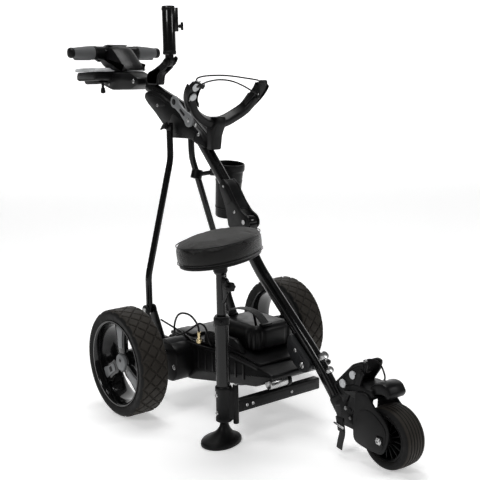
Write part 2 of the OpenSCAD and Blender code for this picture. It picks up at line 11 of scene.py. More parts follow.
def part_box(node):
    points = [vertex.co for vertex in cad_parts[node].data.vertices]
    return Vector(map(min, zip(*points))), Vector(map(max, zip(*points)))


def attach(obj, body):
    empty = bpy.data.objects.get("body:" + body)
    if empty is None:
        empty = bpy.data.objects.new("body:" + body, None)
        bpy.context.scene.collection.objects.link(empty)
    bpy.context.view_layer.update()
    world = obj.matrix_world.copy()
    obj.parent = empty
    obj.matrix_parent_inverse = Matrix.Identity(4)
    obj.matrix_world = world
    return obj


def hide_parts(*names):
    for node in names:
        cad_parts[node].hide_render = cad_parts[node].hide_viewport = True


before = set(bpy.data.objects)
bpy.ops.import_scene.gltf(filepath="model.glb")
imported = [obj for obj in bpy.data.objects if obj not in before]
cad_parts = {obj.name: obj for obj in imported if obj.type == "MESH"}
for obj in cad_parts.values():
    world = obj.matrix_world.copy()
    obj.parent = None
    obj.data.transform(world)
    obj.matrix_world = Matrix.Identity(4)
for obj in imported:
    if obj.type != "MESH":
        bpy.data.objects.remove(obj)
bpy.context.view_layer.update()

MM = 0.001
AXLE = sum(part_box("tyre_left"), Vector()).x / 2      # the rear axle's place along the trolley
Y = np.array([0.0, 1.0, 0.0])
Z = np.array([0.0, 0.0, 1.0])


def centre(node):
    """Middle of a CAD node's box, in millimetres from the rear axle."""
    lo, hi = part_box(node)
    mid = (lo + hi) / 2 / MM
    return np.array([mid.x - AXLE / MM, mid.y, mid.z])


def in_metres(points):
    """Points of the shapes below, in metres and in the frame's place."""
    return np.asarray(points, float) * MM + [AXLE, 0, 0]


def in_mm(points):
    """Points of a mesh, in millimetres from the rear axle."""
    return np.asarray(points, float) / MM - [AXLE / MM, 0, 0]


def points_of(mesh):
    """A mesh's points, in metres."""
    flat = np.empty(len(mesh.vertices) * 3)
    mesh.vertices.foreach_get("co", flat)
    return flat.reshape(-1, 3)


# Camera ----------------------------------------------------------------------

def camera():
    """The viewing camera: a long lens, in front of the trolley's right side and a little above the seat."""
    data = bpy.data.cameras.new("camera")
    data.lens, data.sensor_width = 67.98, 36.0
    cam = bpy.data.objects.new("camera", data)
    right = Vector((0.61627, 0.78724, -0.02139))
    up = Vector((-0.12164, 0.12198, 0.98505))
    turn = Matrix((right, up, right.cross(up))).transposed()
    cam.matrix_world = Matrix.Translation((1.97989 + AXLE, -1.42423, 0.84762)) @ turn.to_4x4()
    bpy.context.scene.collection.objects.link(cam)
    bpy.context.scene.camera = cam


camera()


# Materials -------------------------------------------------------------------

class Value:
    """A socket of a material, on which + - * and abs add Math nodes."""

    def __init__(self, graph, socket):
        self.graph, self.socket = graph, socket

    def _math(self, operation, *values):
        """A Math node on these values."""
        return self.graph.node("ShaderNodeMath", {"operation": operation}, dict(enumerate(values)))

    def __add__(self, other):
        return self._math("ADD", self, other)

    def __sub__(self, other):
        return self._math("SUBTRACT", self, other)

    def __rsub__(self, other):
        return self._math("SUBTRACT", other, self)

    def __mul__(self, other):
        return self._math("MULTIPLY", self, other)

    def __abs__(self):
        return self._math("ABSOLUTE", self)

    __radd__, __rmul__ = __add__, __mul__


class Finish:
    """A material and the record's slot that it belongs to."""

    def __init__(self, slot, colour, roughness, metallic=0.0, coat=0.0, sheen=0.0):
        self.slot = slot
        self.material = bpy.data.materials.new(slot + "_finish")
        self.material.use_nodes = True
        self.tree = self.material.node_tree
        self.shader = self.tree.nodes["Principled BSDF"]
        self.place = self.node("ShaderNodeTexCoord", output="Object")
        for name, value in (("Roughness", roughness), ("Metallic", metallic), ("Coat Weight", coat),
                            ("Sheen Weight", sheen), ("Base Color", (*colour, 1.0))):
            self.shader.inputs[name].default_value = value
        self.shader.inputs["Specular IOR Level"].default_value = 0.5 if metallic > 0.5 else 0.18
        self.material.diffuse_color = (*colour, 1.0)

    def node(self, kind, settings=(), inputs=(), output=0):
        """Adds a node, sets its settings, then its inputs, and returns one of its outputs."""
        made = self.tree.nodes.new(kind)
        for name, value in dict(settings).items():
            setattr(made, name, value)
        for name, value in dict(inputs).items():
            if isinstance(value, Value):
                self.tree.links.new(value.socket, made.inputs[name])
            else:
                made.inputs[name].default_value = value
        return Value(self, made.outputs[output])

    def noise(self, scale, detail=4.0, stretch=None):
        """Cloudy noise of a scale per metre, stretched along the axes if asked."""
        place = self.place
        if stretch:
            place = self.node("ShaderNodeMapping", {}, {"Vector": place, "Scale": stretch})
        return self.node("ShaderNodeTexNoise", {}, {"Vector": place, "Scale": scale, "Detail": detail})

    def cells(self, scale):
        """Distance to the edge of random cells."""
        return self.node("ShaderNodeTexVoronoi", {"feature": "DISTANCE_TO_EDGE"},
                         {"Vector": self.place, "Scale": scale})

    def facing(self, axis):
        """How far the surface faces along an axis, from -1 to 1."""
        normal = self.node("ShaderNodeNewGeometry", output="Normal")
        return self.node("ShaderNodeSeparateXYZ", {}, {"Vector": normal}, axis)

    def spread(self, value, low, high, to_low=0.0, to_high=1.0):
        """Maps low..high to to_low..to_high, and holds what is outside."""
        return self.node("ShaderNodeMapRange", {}, {
            "Value": value, "From Min": low, "From Max": high, "To Min": to_low, "To Max": to_high})

    def patches(self, scale, low, high):
        """A value that drifts between low and high in soft patches."""
        return self.spread(self.noise(scale), 0.3, 0.7, low, high)

    def mix(self, factor, one, two):
        """One colour where factor is 0 and the other where it is 1."""
        return self.node("ShaderNodeMix", {"data_type": "RGBA"},
                         {0: factor, 6: (*one, 1.0), 7: (*two, 1.0)}, output=2)

    def put(self, name, value):
        """Feeds one of the shader's inputs."""
        self.tree.links.new(value.socket, self.shader.inputs[name])

    def bump(self, height, depth):
        """Raises the surface by height times depth, in metres."""
        self.put("Normal", self.node("ShaderNodeBump", {}, {
            "Height": height, "Strength": 1.0, "Distance": depth}))


def lighter(colour, times, more=0.0):
    """A colour times a factor, and a little more."""
    return [part * times + more for part in colour]


def moulded(slot, colour, roughness, grain=900.0, depth=0.00006, coat=0.0):
    """Moulded plastic: a fine spark-eroded grain, soft handling marks and slightly uneven gloss."""
    f = Finish(slot, colour, roughness, coat=coat)
    marks = f.spread(f.noise(9.0, 6.0), 0.35, 0.7)
    f.put("Base Color", f.mix(marks, colour, lighter(colour, 1.35, 0.0015)))
    f.put("Roughness", f.patches(40.0, roughness - 0.05, roughness + 0.07))
    f.bump(f.cells(grain), depth)
    return f


def coated_metal(slot, colour, roughness, coat=0.6, metallic=0.0):
    """Powder-coated metal: an orange-peel skin under a clear gloss, with faint scuffs."""
    f = Finish(slot, colour, roughness, metallic=metallic, coat=coat)
    scuffs = f.spread(f.noise(60.0, 8.0, (1.0, 1.0, 0.25)), 0.62, 0.74)
    f.put("Roughness", f.patches(25.0, roughness - 0.03, roughness + 0.04) + scuffs * 0.12)
    f.put("Base Color", f.mix(scuffs * 0.3, colour, lighter(colour, 1.6, 0.004)))
    f.bump(f.noise(420.0, 2.0), 0.00001)
    return f


def rubbery(slot, colour, roughness, dust=0.0, wall=None):
    """Rubber: dull, with a fine pebble, and a little dust or, on a tyre, a wall of another colour."""
    f = Finish(slot, colour, roughness)
    if wall:
        f.put("Base Color", f.mix(f.spread(abs(f.facing("Y")), 0.5, 0.72), colour, wall))
    else:
        dusty = f.spread(f.noise(14.0, 8.0), 0.42, 0.72) * dust
        f.put("Base Color", f.mix(dusty, colour, lighter(colour, 1.5, 0.006)))
    f.put("Roughness", f.patches(70.0, roughness - 0.06, roughness + 0.06))
    f.bump(f.noise(900.0, 3.0), 0.00012)
    return f


def brushed(slot, colour, roughness):
    """Plated or brushed metal with fine lines."""
    f = Finish(slot, colour, roughness, metallic=1.0)
    lines = f.noise(500.0, 3.0, (0.15, 1.0, 1.0))
    f.put("Roughness", f.spread(lines, 0.3, 0.7, roughness - 0.06, roughness + 0.1))
    f.bump(lines, 0.00002)
    return f


def vinyl(slot, colour, roughness, gloss):
    """Grained vinyl: leather-like cells in two sizes, glossier on the upright side than on top, and darkened
    there by painted shade.
    """
    f = Finish(slot, colour, roughness)
    # side is 1 where the surface turns away from facing up: it paints shade there, at 0.28 of the top's
    # colour, and raises the gloss
    side = 1.0 - f.spread(f.facing("Z"), 0.35, 0.75)
    f.put("Base Color", f.mix(side, colour, lighter(colour, 0.28)))
    f.put("Roughness", f.spread(side, 0.0, 1.0, roughness, gloss) + f.noise(30.0) * 0.08)
    f.bump(f.spread(f.cells(420.0), 0.0, 0.25) + f.noise(1500.0) * 0.3, 0.00018)
    return f


def woven(slot, colour):
    """Webbing: a plain weave, where bands across and bands aslant cross."""
    f = Finish(slot, colour, 0.8, sheen=0.4)
    warp, weft = [f.node("ShaderNodeTexWave", {"wave_type": "BANDS", "bands_direction": way},
                         {"Vector": f.place, "Scale": scale}) for way,
                  scale in (("Y", 180.0), ("DIAGONAL", 160.0))]
    f.put("Base Color", f.mix(warp * weft, colour, lighter(colour, 2.2, 0.01)))
    f.bump(warp * weft, 0.0003)
    return f


TYRE = rubbery("tyre", (0.026, 0.0225, 0.0185), 0.62, wall=(0.006, 0.006, 0.006))
GLOSS = moulded("gloss_black", (0.0025, 0.0026, 0.0028), 0.15, grain=300.0, depth=0.00001, coat=0.5)
SATIN = moulded("satin_black", (0.0035, 0.0035, 0.0038), 0.36)
TUBE = coated_metal("black_metal", (0.0028, 0.0028, 0.003), 0.24, coat=0.35)
SILVER = coated_metal("silver_trim", (0.20, 0.205, 0.21), 0.42, coat=0.1, metallic=0.2)
STEEL = brushed("steel", (0.50, 0.50, 0.50), 0.26)
PLATE = coated_metal("grey_plate", (0.02, 0.0205, 0.022), 0.42, coat=0.1)
PALE = moulded("light_grey", (0.50, 0.51, 0.52), 0.42, depth=0.00003)
GRIP = rubbery("grip_grey", (0.10, 0.102, 0.104), 0.55, dust=0.2)
VINYL = vinyl("vinyl", (0.040, 0.039, 0.038), 0.55, 0.22)
WEB = woven("webbing", (0.007, 0.007, 0.0075))
RUBBER = rubbery("rubber", (0.004, 0.004, 0.0042), 0.46, dust=0.12)
BRASS = brushed("brass", (0.76, 0.62, 0.36), 0.22)


# Shapes: each is (points, faces), in millimetres from the rear axle ----------

def skin(grid, along=False):
    """Quads over a grid of points: columns run around the shape and rows along it. The rows end in a face at
    each end or, with along, close into a ring."""
    rows, columns = grid.shape[:2]
    n = np.arange(rows * columns).reshape(rows, columns)
    a, b = (n, np.roll(n, -1, 0)) if along else (n[:-1], n[1:])
    faces = np.stack([a, np.roll(a, -1, 1), np.roll(b, -1, 1), b], -1).reshape(-1, 4).tolist()
    if not along:
        faces += [n[0][::-1].tolist(), n[-1].tolist()]
    return grid.reshape(-1, 3), faces


def join(shapes):
    """Several shapes as one."""
    points, faces, start = [], [], 0
    for p, f in shapes:
        points.append(p)
        faces += [[start + i for i in face] for face in f]
        start += len(p)
    return np.concatenate(points), faces


def mirrored(shape):
    """The same shape on the other side of the middle plane."""
    return shape[0] * [1, -1, 1], [face[::-1] for face in shape[1]]


def both(*shapes):
    """Shapes and their mirror images."""
    return [*shapes, *(mirrored(s) for s in shapes)]


def across(axis):
    """Two unit vectors square to an axis and to each other."""
    axis = np.asarray(axis, float) / np.linalg.norm(axis)
    one = np.cross(axis, Z if abs(axis[2]) < 0.9 else Y)
    one /= np.linalg.norm(one)
    return axis, one, np.cross(axis, one)


def turned(profile, at, axis=Y, steps=64, ring=False):
    """A profile of (radius, distance along the axis) turned about an axis through a point."""
    profile = np.asarray(profile, float)
    axis, one, two = across(axis)
    a = np.linspace(0, 2 * np.pi, steps, endpoint=False)
    spokes = np.cos(a)[:, None] * one + np.sin(a)[:, None] * two
    grid = np.asarray(at, float) + profile[:, 0, None, None] * spokes + profile[:, 1, None, None] * axis
    return skin(grid, along=ring)


def rod(a, b, r, soften=1.0, steps=32):
    """A round bar between two points, its end edges rounded off."""
    a, b = np.asarray(a, float), np.asarray(b, float)
    n = np.linalg.norm(b - a)
    s = min(soften, r * 0.6, n * 0.3)
    profile = [(0.01, 0), (r - s, 0), (r - s * 0.3, s * 0.3), (r, s),
               (r, n - s), (r - s * 0.3, n - s * 0.3), (r - s, n), (0.01, n)]
    return turned(profile, a, b - a, steps)


def curve(points, bend=30.0, steps=8):
    """A line through points with each corner rounded off by a parabola that starts bend away from it."""
    points = np.asarray(points, float)
    out = [points[0]]
    t = np.linspace(0, 1, steps)[:, None]
    for before, p, after in zip(points, points[1:], points[2:]):
        d = min(bend, np.linalg.norm(before - p) * 0.48, np.linalg.norm(after - p) * 0.48)
        a = p + (before - p) * d / np.linalg.norm(before - p)
        b = p + (after - p) * d / np.linalg.norm(after - p)
        out.extend((1 - t) ** 2 * a + 2 * t * (1 - t) * p + t ** 2 * b)
    out.append(points[-1])
    return np.array(out)


def flowing(points, steps=8):
    """A smooth line through points: between two of them, the cubic of their neighbours' slopes."""
    p = np.asarray(points, float)
    p = np.concatenate([[2 * p[0] - p[1]], p, [2 * p[-1] - p[-2]]])
    t = np.linspace(0, 1, steps, endpoint=False)[:, None]
    out = [0.5 * (2 * b + (c - a) * t + (2 * a - 5 * b + 4 * c - d) * t ** 2
                  + (3 * b - a - 3 * c + d) * t ** 3) for a, b, c, d in zip(p, p[1:], p[2:], p[3:])]
    return np.concatenate(out + [p[-2:-1]])


def oval(width, height, power=2.0, steps=32):
    """A closed outline from an ellipse, at power 2, towards a rounded rectangle as power grows."""
    a = np.linspace(0, 2 * np.pi, steps, endpoint=False)
    c, s = np.cos(a), np.sin(a)
    return np.stack([width / 2 * np.sign(c) * np.abs(c) ** (2 / power),
                     height / 2 * np.sign(s) * np.abs(s) ** (2 / power)], 1)


def sweep(path, section, side=Y, scale=None, closed=False):
    """A section carried along a path: its first axis lies along side and its second is square to both."""
    path, section = np.asarray(path, float), np.asarray(section, float)
    along = np.roll(path, -1, 0) - np.roll(path, 1, 0) if closed else np.gradient(path, axis=0)
    along /= np.linalg.norm(along, axis=1)[:, None]
    side = np.broadcast_to(np.asarray(side, float), path.shape)
    up = np.cross(side, along)
    up /= np.linalg.norm(up, axis=1)[:, None]
    side = np.cross(along, up)
    size = np.ones(len(path)) if scale is None else np.asarray(scale, float)
    grid = (path[:, None] + size[:, None, None] * (section[None, :, :1] * side[:, None]
                                                   + section[None, :, 1:] * up[:, None]))
    return skin(grid, along=closed)


def pipe(path, r, steps=20):
    """A round tube along a path, free of any fixed side."""
    path = np.asarray(path, float)
    along = np.gradient(path, axis=0)
    side = np.cross(along, Z)
    side[np.linalg.norm(side, axis=1) < 1e-6] = Y
    for i in range(1, len(side)):
        side[i] *= 1 if side[i] @ side[i - 1] >= 0 else -1
    return sweep(path, oval(2 * r, 2 * r, steps=steps), side / np.linalg.norm(side, axis=1)[:, None])


def rounded(outline, r, steps=5):
    """A closed outline with each corner rounded off."""
    p = np.asarray(outline, float)
    t = np.linspace(0, 1, steps)[:, None]
    out = []
    for before, q, after in zip(np.roll(p, 1, 0), p, np.roll(p, -1, 0)):
        d = min(r, np.linalg.norm(before - q) * 0.45, np.linalg.norm(after - q) * 0.45)
        a = q + (before - q) * d / np.linalg.norm(before - q)
        b = q + (after - q) * d / np.linalg.norm(after - q)
        out.append((1 - t) ** 2 * a + 2 * t * (1 - t) * q + t ** 2 * b)
    return np.concatenate(out)


def arc(at, r, start, stop, steps=16):
    """Points of an arc in X and Z, angles in degrees."""
    a = np.radians(np.linspace(start, stop, steps))
    return np.asarray(at, float) + r * np.stack([np.cos(a), np.sin(a)], 1)


def plate(outline, low, high, edge=1.0):
    """An outline in X and Z given thickness along Y, its faces' edges drawn in by a small chamfer."""
    p = np.asarray(outline, float)
    area = np.sum(p[:, 0] * np.roll(p[:, 1], -1) - np.roll(p[:, 0], -1) * p[:, 1])
    if area < 0:
        p = p[::-1]
    d = np.roll(p, -1, 0) - np.roll(p, 1, 0)
    inward = np.stack([-d[:, 1], d[:, 0]], 1) / np.linalg.norm(d, axis=1)[:, None]
    e = min(edge, (high - low) / 2.2)
    rows = [(low, e), (low + e * 0.3, e * 0.3), (low + e, 0), (high - e, 0), (high - e * 0.3, e * 0.3),
            (high, e)]
    grid = np.stack([np.insert(p + inward * k, 1, y, axis=1) for y, k in rows])
    return skin(grid)


def panel(corners, r, low, high, edge=1.0):
    """A plate whose outline is given by its corners, each rounded off."""
    return plate(rounded(corners, r), low, high, edge)


def block(low, high, edge=1.5):
    """A box with softened edges: a rounded rectangle in X and Z with thickness along Y."""
    (x0, y0, z0), (x1, y1, z1) = low, high
    return panel([(x0, z0), (x1, z0), (x1, z1), (x0, z1)], edge * 1.6, y0, y1, edge)


def leaned(shape, at, axis, degrees):
    """A shape turned about an axis through a point."""
    turn = np.array(Matrix.Rotation(math.radians(degrees), 3, Vector(axis)))
    return (shape[0] - at) @ turn.T + at, shape[1]


def stack(outline, rows, at=(0.0, 0.0), base=0.0):
    """An outline in X and Y at each (height above base, size) of rows, scaled about a point by its size."""
    return skin(np.stack([np.insert((outline - at) * k + at, 2, base + z, axis=1) for z, k in rows]))


def swung(outline, degrees):
    """An outline turned about the origin."""
    c, s = math.cos(math.radians(degrees)), math.sin(math.radians(degrees))
    return outline @ np.array([[c, s], [-s, c]])


def screw_head(at, axis, r, h):
    """A domed screw head with a hexagon socket."""
    dome = [(0.45 * r, 0.35 * h), (0.5 * r, h), (0.8 * r, 0.9 * h), (r, 0.4 * h), (r, 0), (0.01, 0)]
    socket = [(0.01, 0.34 * h), (0.5 * r, 0.36 * h), (0.5 * r, 0.2 * h), (0.01, 0.2 * h)]
    return join([turned(dome[::-1], at, axis, 24), turned(socket, at, axis, 6)])


def piece(name, body, finish, shapes, nodes=(), crease=40):
    """Makes one named piece of a body from shapes, in place of the CAD nodes that it stands for."""
    points, faces = join(shapes)
    mesh = bpy.data.meshes.new(name)
    mesh.from_pydata(in_metres(points).tolist(), [], faces)
    work = bmesh.new()
    work.from_mesh(mesh)
    bmesh.ops.remove_doubles(work, verts=work.verts, dist=0.00001)
    bmesh.ops.recalc_face_normals(work, faces=work.faces)
    work.to_mesh(mesh)
    work.free()
    mesh.shade_smooth()
    mesh.set_sharp_from_angle(angle=math.radians(crease))
    mesh.materials.append(finish.material)
    made = bpy.data.objects.new(name, mesh)
    bpy.context.scene.collection.objects.link(made)
    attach(made, body)
    if nodes:
        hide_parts(*nodes)
    return made


# Wheels ----------------------------------------------------------------------

WHEEL, FRONT = centre("tyre_left"), centre("front_tyre")


def rear_tyre():
    """Radius is 140 less 3.2 where u + v or u - v is near a whole number, u once per lozenge around the tyre
    and v once per lozenge across it, fading out at the shoulders. These are quarter circles of 12."""
    rows, tread = 840, 57
    lozenges, across_tread = 24, 36.0
    y = np.linspace(-30, 30, tread)
    t = np.linspace(0, np.pi / 2, 7)[1:]
    shoulder = np.stack([128 + 12 * np.cos(t), 28 + 12 * np.sin(t)], 1)
    wall = [(124, 38.8), (115, 37.2), (113.2, 36)]
    side = np.concatenate([shoulder, wall])
    radius = np.concatenate([side[::-1, 0], np.full(tread, 140.0), side[:, 0]])
    width = np.concatenate([-side[::-1, 1], y, side[:, 1]])
    a = np.linspace(0, 2 * np.pi, rows, endpoint=False)[:, None]
    u, v = a / (2 * np.pi) * lozenges, width[None] / across_tread
    near = np.minimum(np.abs((u + v + 0.5) % 1 - 0.5), np.abs((u - v + 0.5) % 1 - 0.5))
    groove = np.clip((0.095 - near) / 0.04, 0, 1)
    r = radius - 3.2 * groove * np.clip((38 - np.abs(width)) / 4, 0, 1)
    grid = np.stack([r * np.cos(a), np.broadcast_to(width, r.shape), r * np.sin(a)], -1) + WHEEL
    return [skin(grid, along=True)]


SPOKES = (90, 210, 330)
SPOKE = rounded([(22, -21), (58, -17), (96, -27), (106, -34), (106, 34), (96, 27), (58, 17), (22, 21)], 16)
INLAY = rounded([(38, -11), (60, -10), (97, -16), (97, 16), (60, 10), (38, 11)], 9)


def spun(outline, degrees, at=WHEEL):
    """An outline in X and Z given from a wheel's middle, turned about it."""
    return swung(outline, degrees) + [at[0], at[2]]


def rear_rim():
    """The barrel, its rolled lips, three spokes and the hub."""
    barrel = [(113, -36), (113, 36), (112, 38.2), (109, 38.6), (107, 37), (106, 33), (103, 25), (101.5, 12),
              (101.5, -16), (104, -28), (107, -35), (109, -38)]
    hub = [(8.05, -36), (29, -36), (30, -34), (30, 8), (28, 13), (26, 14), (8.05, 14)]
    return [turned(barrel, WHEEL, Y, 144, ring=True), turned(hub, WHEEL, Y, 48, ring=True),
            *(plate(spun(SPOKE, a), WHEEL[1] + 5, WHEEL[1] + 19, 3.5) for a in SPOKES)]


def rear_trim():
    """Hub cap with a raised ring, and the inlays of the spokes."""
    cap = [(0.01, 24.4), (12, 24), (14, 22.9), (18, 22.6), (21.5, 21.4), (23, 18.6), (23, 14.1), (0.01, 14.1)]
    return [turned(cap, WHEEL, Y, 64),
            *(plate(spun(INLAY, a), WHEEL[1] + 19.02, WHEEL[1] + 20.8, 0.8) for a in SPOKES)]


def rear_marks():
    """A notch in the hub cap, a socket in the rear inlay and the valve."""
    out = WHEEL[1]
    notch = plate(spun(rounded([(3, -4), (11, -4), (11, 4), (3, 4)], 2), 60), out + 23.8, out + 24.9, 0.3)
    socket = plate(spun(rounded([(54, -7), (68, -7), (68, 7), (54, 7)], 2), 210), out + 20.4, out + 21.3, 0.3)
    return [notch, socket, rod((-70, out + 8, 70), (-64, out + 19, 76), 3)]


SIDES = ("left", "right")


def on_side(side, shapes):
    """Shapes of the left side, mirrored for the right one."""
    return shapes if side == "left" else [mirrored(s) for s in shapes]


for side in SIDES:
    wheel = "wheel_" + side
    piece("tyre_tread_" + side, wheel, TYRE, on_side(side, rear_tyre()), ["tyre_" + side], crease=60)
    piece("rim_" + side + "_shell", wheel, GLOSS, on_side(side, rear_rim()), ["rim_" + side])
    piece("hub_cap_" + side, wheel, SILVER, on_side(side, rear_trim()), ["trim_" + side])
    piece("rim_marks_" + side, wheel, SATIN, on_side(side, rear_marks()))


def front_wheel():
    """The tyre's radius is 71, less 0.0022 of y squared and less 1.9 in each of five grooves, where a cosine
    of period 8.8 in y is high. The hub is turned, with sixteen radial fins on each face."""
    y = np.linspace(-22, 22, 67)
    dips = np.clip(np.cos(y / 8.8 * 2 * np.pi) * 1.6 - 0.6, 0, 1)
    tread = np.stack([71 - 1.9 * dips - 0.0022 * y ** 2, y], 1)
    t = np.linspace(0.12, 1, 9)[:, None] * np.pi / 2
    curve_out = np.concatenate([60.5 + 9.5 * np.cos(t), 22 + 8 * np.sin(t)], 1)
    side = np.concatenate([curve_out, [(53, 28.5), (52.2, 27)]])
    profile = np.concatenate([side[::-1] * [1, -1], tread, side])
    hub = [(52, -26.5), (52, 26.5), (49.5, 28), (46.5, 26), (45.5, 22), (44, 7), (18, 6), (16.5, 24),
           (15, 27.5), (5.1, 29), (5.1, -29), (15, -27.5), (16.5, -24), (18, -6), (44, -7), (45.5, -22),
           (46.5, -26), (49.5, -28)]
    fins = []
    for k in range(16):
        outline = spun(np.array([(15, -1.2), (46, -1.2), (46, 1.2), (15, 1.2)]), k * 22.5, FRONT)
        fins += both(plate(outline, 5, 21, 0.5))
    return [turned(profile, FRONT, Y, 128, ring=True)], [turned(hub, FRONT, Y, 96, ring=True), *fins]


front_tread, front_centre = front_wheel()
piece("front_tread", "front_wheel", TYRE, front_tread, ["front_tyre"], crease=60)
piece("front_hub_fins", "front_wheel", SATIN, front_centre, ["front_hub"])

# Fork and its arch -----------------------------------------------------------

cheek = rounded([(604, 166), (598, 84), (598, 46), (636, 38), (688, 37), (702, 62), (708, 92), (701, 112),
                 (686, 125), (664, 139), (643, 166)], 16)
crown = rounded([(556, 152), (574, 170), (600, 179), (652, 175), (652, 152), (636, 148), (598, 141)], 9)
hump = rounded([(630, 152), (634, 177), (652, 191), (672, 196), (688, 191), (699, 172), (692, 160),
                (676, 165), (654, 159)], 9)
rim_band = panel([(612, 120), (606, 86), (606, 52), (638, 45), (684, 44), (695, 64), (700, 92), (692, 107),
                  (664, 127), (640, 132)], 12, 41, 42.6, 0.8)
piece("fork_cheeks", "chassis", SATIN, both(plate(cheek, 35, 41, 2.2), rim_band)
      + [plate(crown, -35.4, 35.4, 5), plate(hump, -28, 28, 7)], ["fork"])
piece("fork_stem", "chassis", SATIN,
      [panel([(498, 114), (540, 62), (598, 58), (603, 100), (606, 146), (556, 153)], 10, -22, 22, 5)]
      + both(panel([(520, 112), (546, 76), (586, 72), (590, 130), (560, 138)], 8, 22, 24, 1)))
piece("fork_bolts", "chassis", STEEL,
      both(screw_head((682, 47.5, 71), Y, 6.5, 3.0), rod([682, 41, 71], [682, 47.5, 71], 9, 1, 6),
           screw_head((560, 24, 108), Y, 5, 2.6), screw_head((574, 24, 88), Y, 4, 2.2)))
piece("fork_axle_boss", "chassis", SATIN, both(block((672, 41, 61), (692, 45.6, 81), 1.6)))

# Frame tubes -----------------------------------------------------------------


def mid(points):
    """Points of the middle plane given as (x, z)."""
    return [(x, 0, z) for x, z in points]


TOP, BEND_1, BEND_2, END = (158, 474), (215, 388), (440, 190), (528, 88)
LOW, HIGH = (104, 576), (-8, 694)
tube = oval(26, 33, 2.6, 40)
piece("main_beam", "chassis", TUBE, [sweep(curve(mid([TOP, BEND_1, BEND_2, END]), 46, 12), tube),
                                     panel([(150, 462), (192, 440), (206, 486), (204, 500), (190, 514),
                                            (176, 508)], 10, -12.5, 12.5, 2),
                                     rod([188, -13, 498], [188, 13, 498], 16.5, 2, 48)], ["main_tube"])
piece("beam_end_cap", "chassis", SATIN,
      [panel([(156, 462), (170, 441), (187, 452), (173, 474)], 3, -14.4, 14.4, 1.5)])
piece("middle_tube", "upper_frame", TUBE, [sweep(np.linspace(*mid([LOW, HIGH]), 6), tube)], ["mid_tube"])
piece("handle_tube", "handle", TUBE, [sweep(np.linspace(*mid([(-86, 780), (-262, 844)]), 6), tube),
                                      rod([-70, -13, 772], [-70, 13, 772], 16.4, 1.5, 48)], ["upper_tube"])
web = [(352, 202), (356, 234), (368, 243), (438, 184), (431, 161), (404, 154), (374, 173)]
piece("bracket_plates", "chassis", PLATE,
      both(panel(web, 9, 13.05, 23, 1.6),
           panel([(366, 205), (372, 228), (420, 186), (402, 166)], 6, 23, 24.2, 0.6)), ["fold_bracket"])

strut_line = curve([(-100, 130, 228), (-102, 128, 330), (-112, 36, 645), (-113, 35, 741)], 16, 10)
piece("strut_tubes", "strut_pair", TUBE, both(pipe(strut_line, 9, 28),
                                              rod([-113, 35, 722], [-113, 35, 744], 9.6, 1.5)), ["struts"])
wing = rounded([(-133, 723), (-117, 741), (-95, 749), (-109, 729)], 7)
piece("strut_wing_nuts", "strut_pair", SATIN,
      both(rod([-113, 27, 735], [-113, 51, 735], 4), rod([-113, 44, 735], [-113, 50, 735], 9, 1.5),
           plate(wing, 50, 56, 2)), ["strut_nuts"])
foot_ear = rounded(np.concatenate([[(-54, 152), (-50, 168), (-62, 190)], arc((-100, 236), 14, 0, 180),
                                   [(-112, 196), (-84, 152)]]), 2, 2)
piece("strut_ears", "chassis", SATIN,
      both(plate(foot_ear, 114.6, 120.6, 1.2), plate(foot_ear, 139.4, 145.4, 1.2),
           block((-84, 101, 150), (-50, 115, 164), 2), block((-84, 120, 150), (-56, 140, 160), 2)),
      ["strut_feet"])
piece("strut_pins", "chassis", STEEL, both(rod([-100, 111.8, 236], [-100, 148.2, 236], 4),
                                           screw_head((-100, 145.6, 236), Y, 6.5, 3)))
piece("stays", "chassis", TUBE, both(pipe(curve([(-84, 104, 205), (30, 104, 188), (72, 101, 172),
                                                 (100, 94, 184.5)], 14), 2.5, 12)), ["stay_rods"])

# Base ------------------------------------------------------------------------

hull = rounded([(-66, 150), (-60, 84), (-40, 66), (34, 62), (230, 98), (320, 112), (386, 146),
                (386, 157), (336, 166), (230, 176), (60, 168), (-60, 168)], 12)
arm = rounded([(-46, 150), (-44, 84), (-30, 66), (34, 64), (58, 92), (58, 150), (34, 168), (-34, 168)], 14)
keel = rounded([(120, 84), (226, 92), (300, 106), (252, 92), (206, 78)], 8)
piece("base_tub", "chassis", SATIN, [plate(hull, -98, 98, 6)] + both(plate(arm, 92, 150, 4)), ["base_shell"])
piece("base_ribs", "chassis", SATIN,
      both(*[block((x, 97, 104 + max(0, x - 60) * 0.08), (x + 7, 100.4, 160), 1.2)
             for x in range(80, 300, 32)],
           panel([(60, 160), (230, 168), (334, 158), (334, 165), (230, 176), (60, 168)], 2, 97, 101, 1.2)))
piece("base_keel", "chassis", SATIN, [plate(keel, -60, 60, 3)])
deck = [(-57, 168.6), (60, 168.6), (230, 176.4), (335, 166.4), (335, 173), (230, 184), (60, 178), (-57, 178)]
rail = rounded([(94, 178), (102, 208), (120, 213), (226, 213), (240, 206), (264, 181)], 8)
piece("base_deck", "chassis", SATIN, [panel(deck, 3, -91.7, 91.7, 2.5)]
      + both(plate(rail, 75, 89, 3.5),
             *[block((x, 72, 184), (x + 8, 76, 206), 1.5) for x in (118, 150, 182, 214)],
             block((-40, 40, 177), (40, 84, 186), 4)), ["base_cover"])
piece("base_bolts", "chassis", STEEL,
      both(screw_head((44, 150, 108), Y, 7, 3), screw_head((410, 24, 174), Y, 8, 4),
           screw_head((386, 24, 206), Y, 5, 2.5))
      + [rod([366, -95, 130], [366, -29, 130], 13, 3, 40), rod([452, 0, 196], [467, 0, 209], 10, 2),
         rod([474, 0, 168], [486, 0, 178], 8.6, 2), rod([410, -24, 174], [410, 24, 174], 5)],
      ["chassis_fasteners"])
piece("bar_collar", "chassis", SATIN, [rod([366, -40, 130], [366, -29, 130], 14.6, 1.5, 40)])


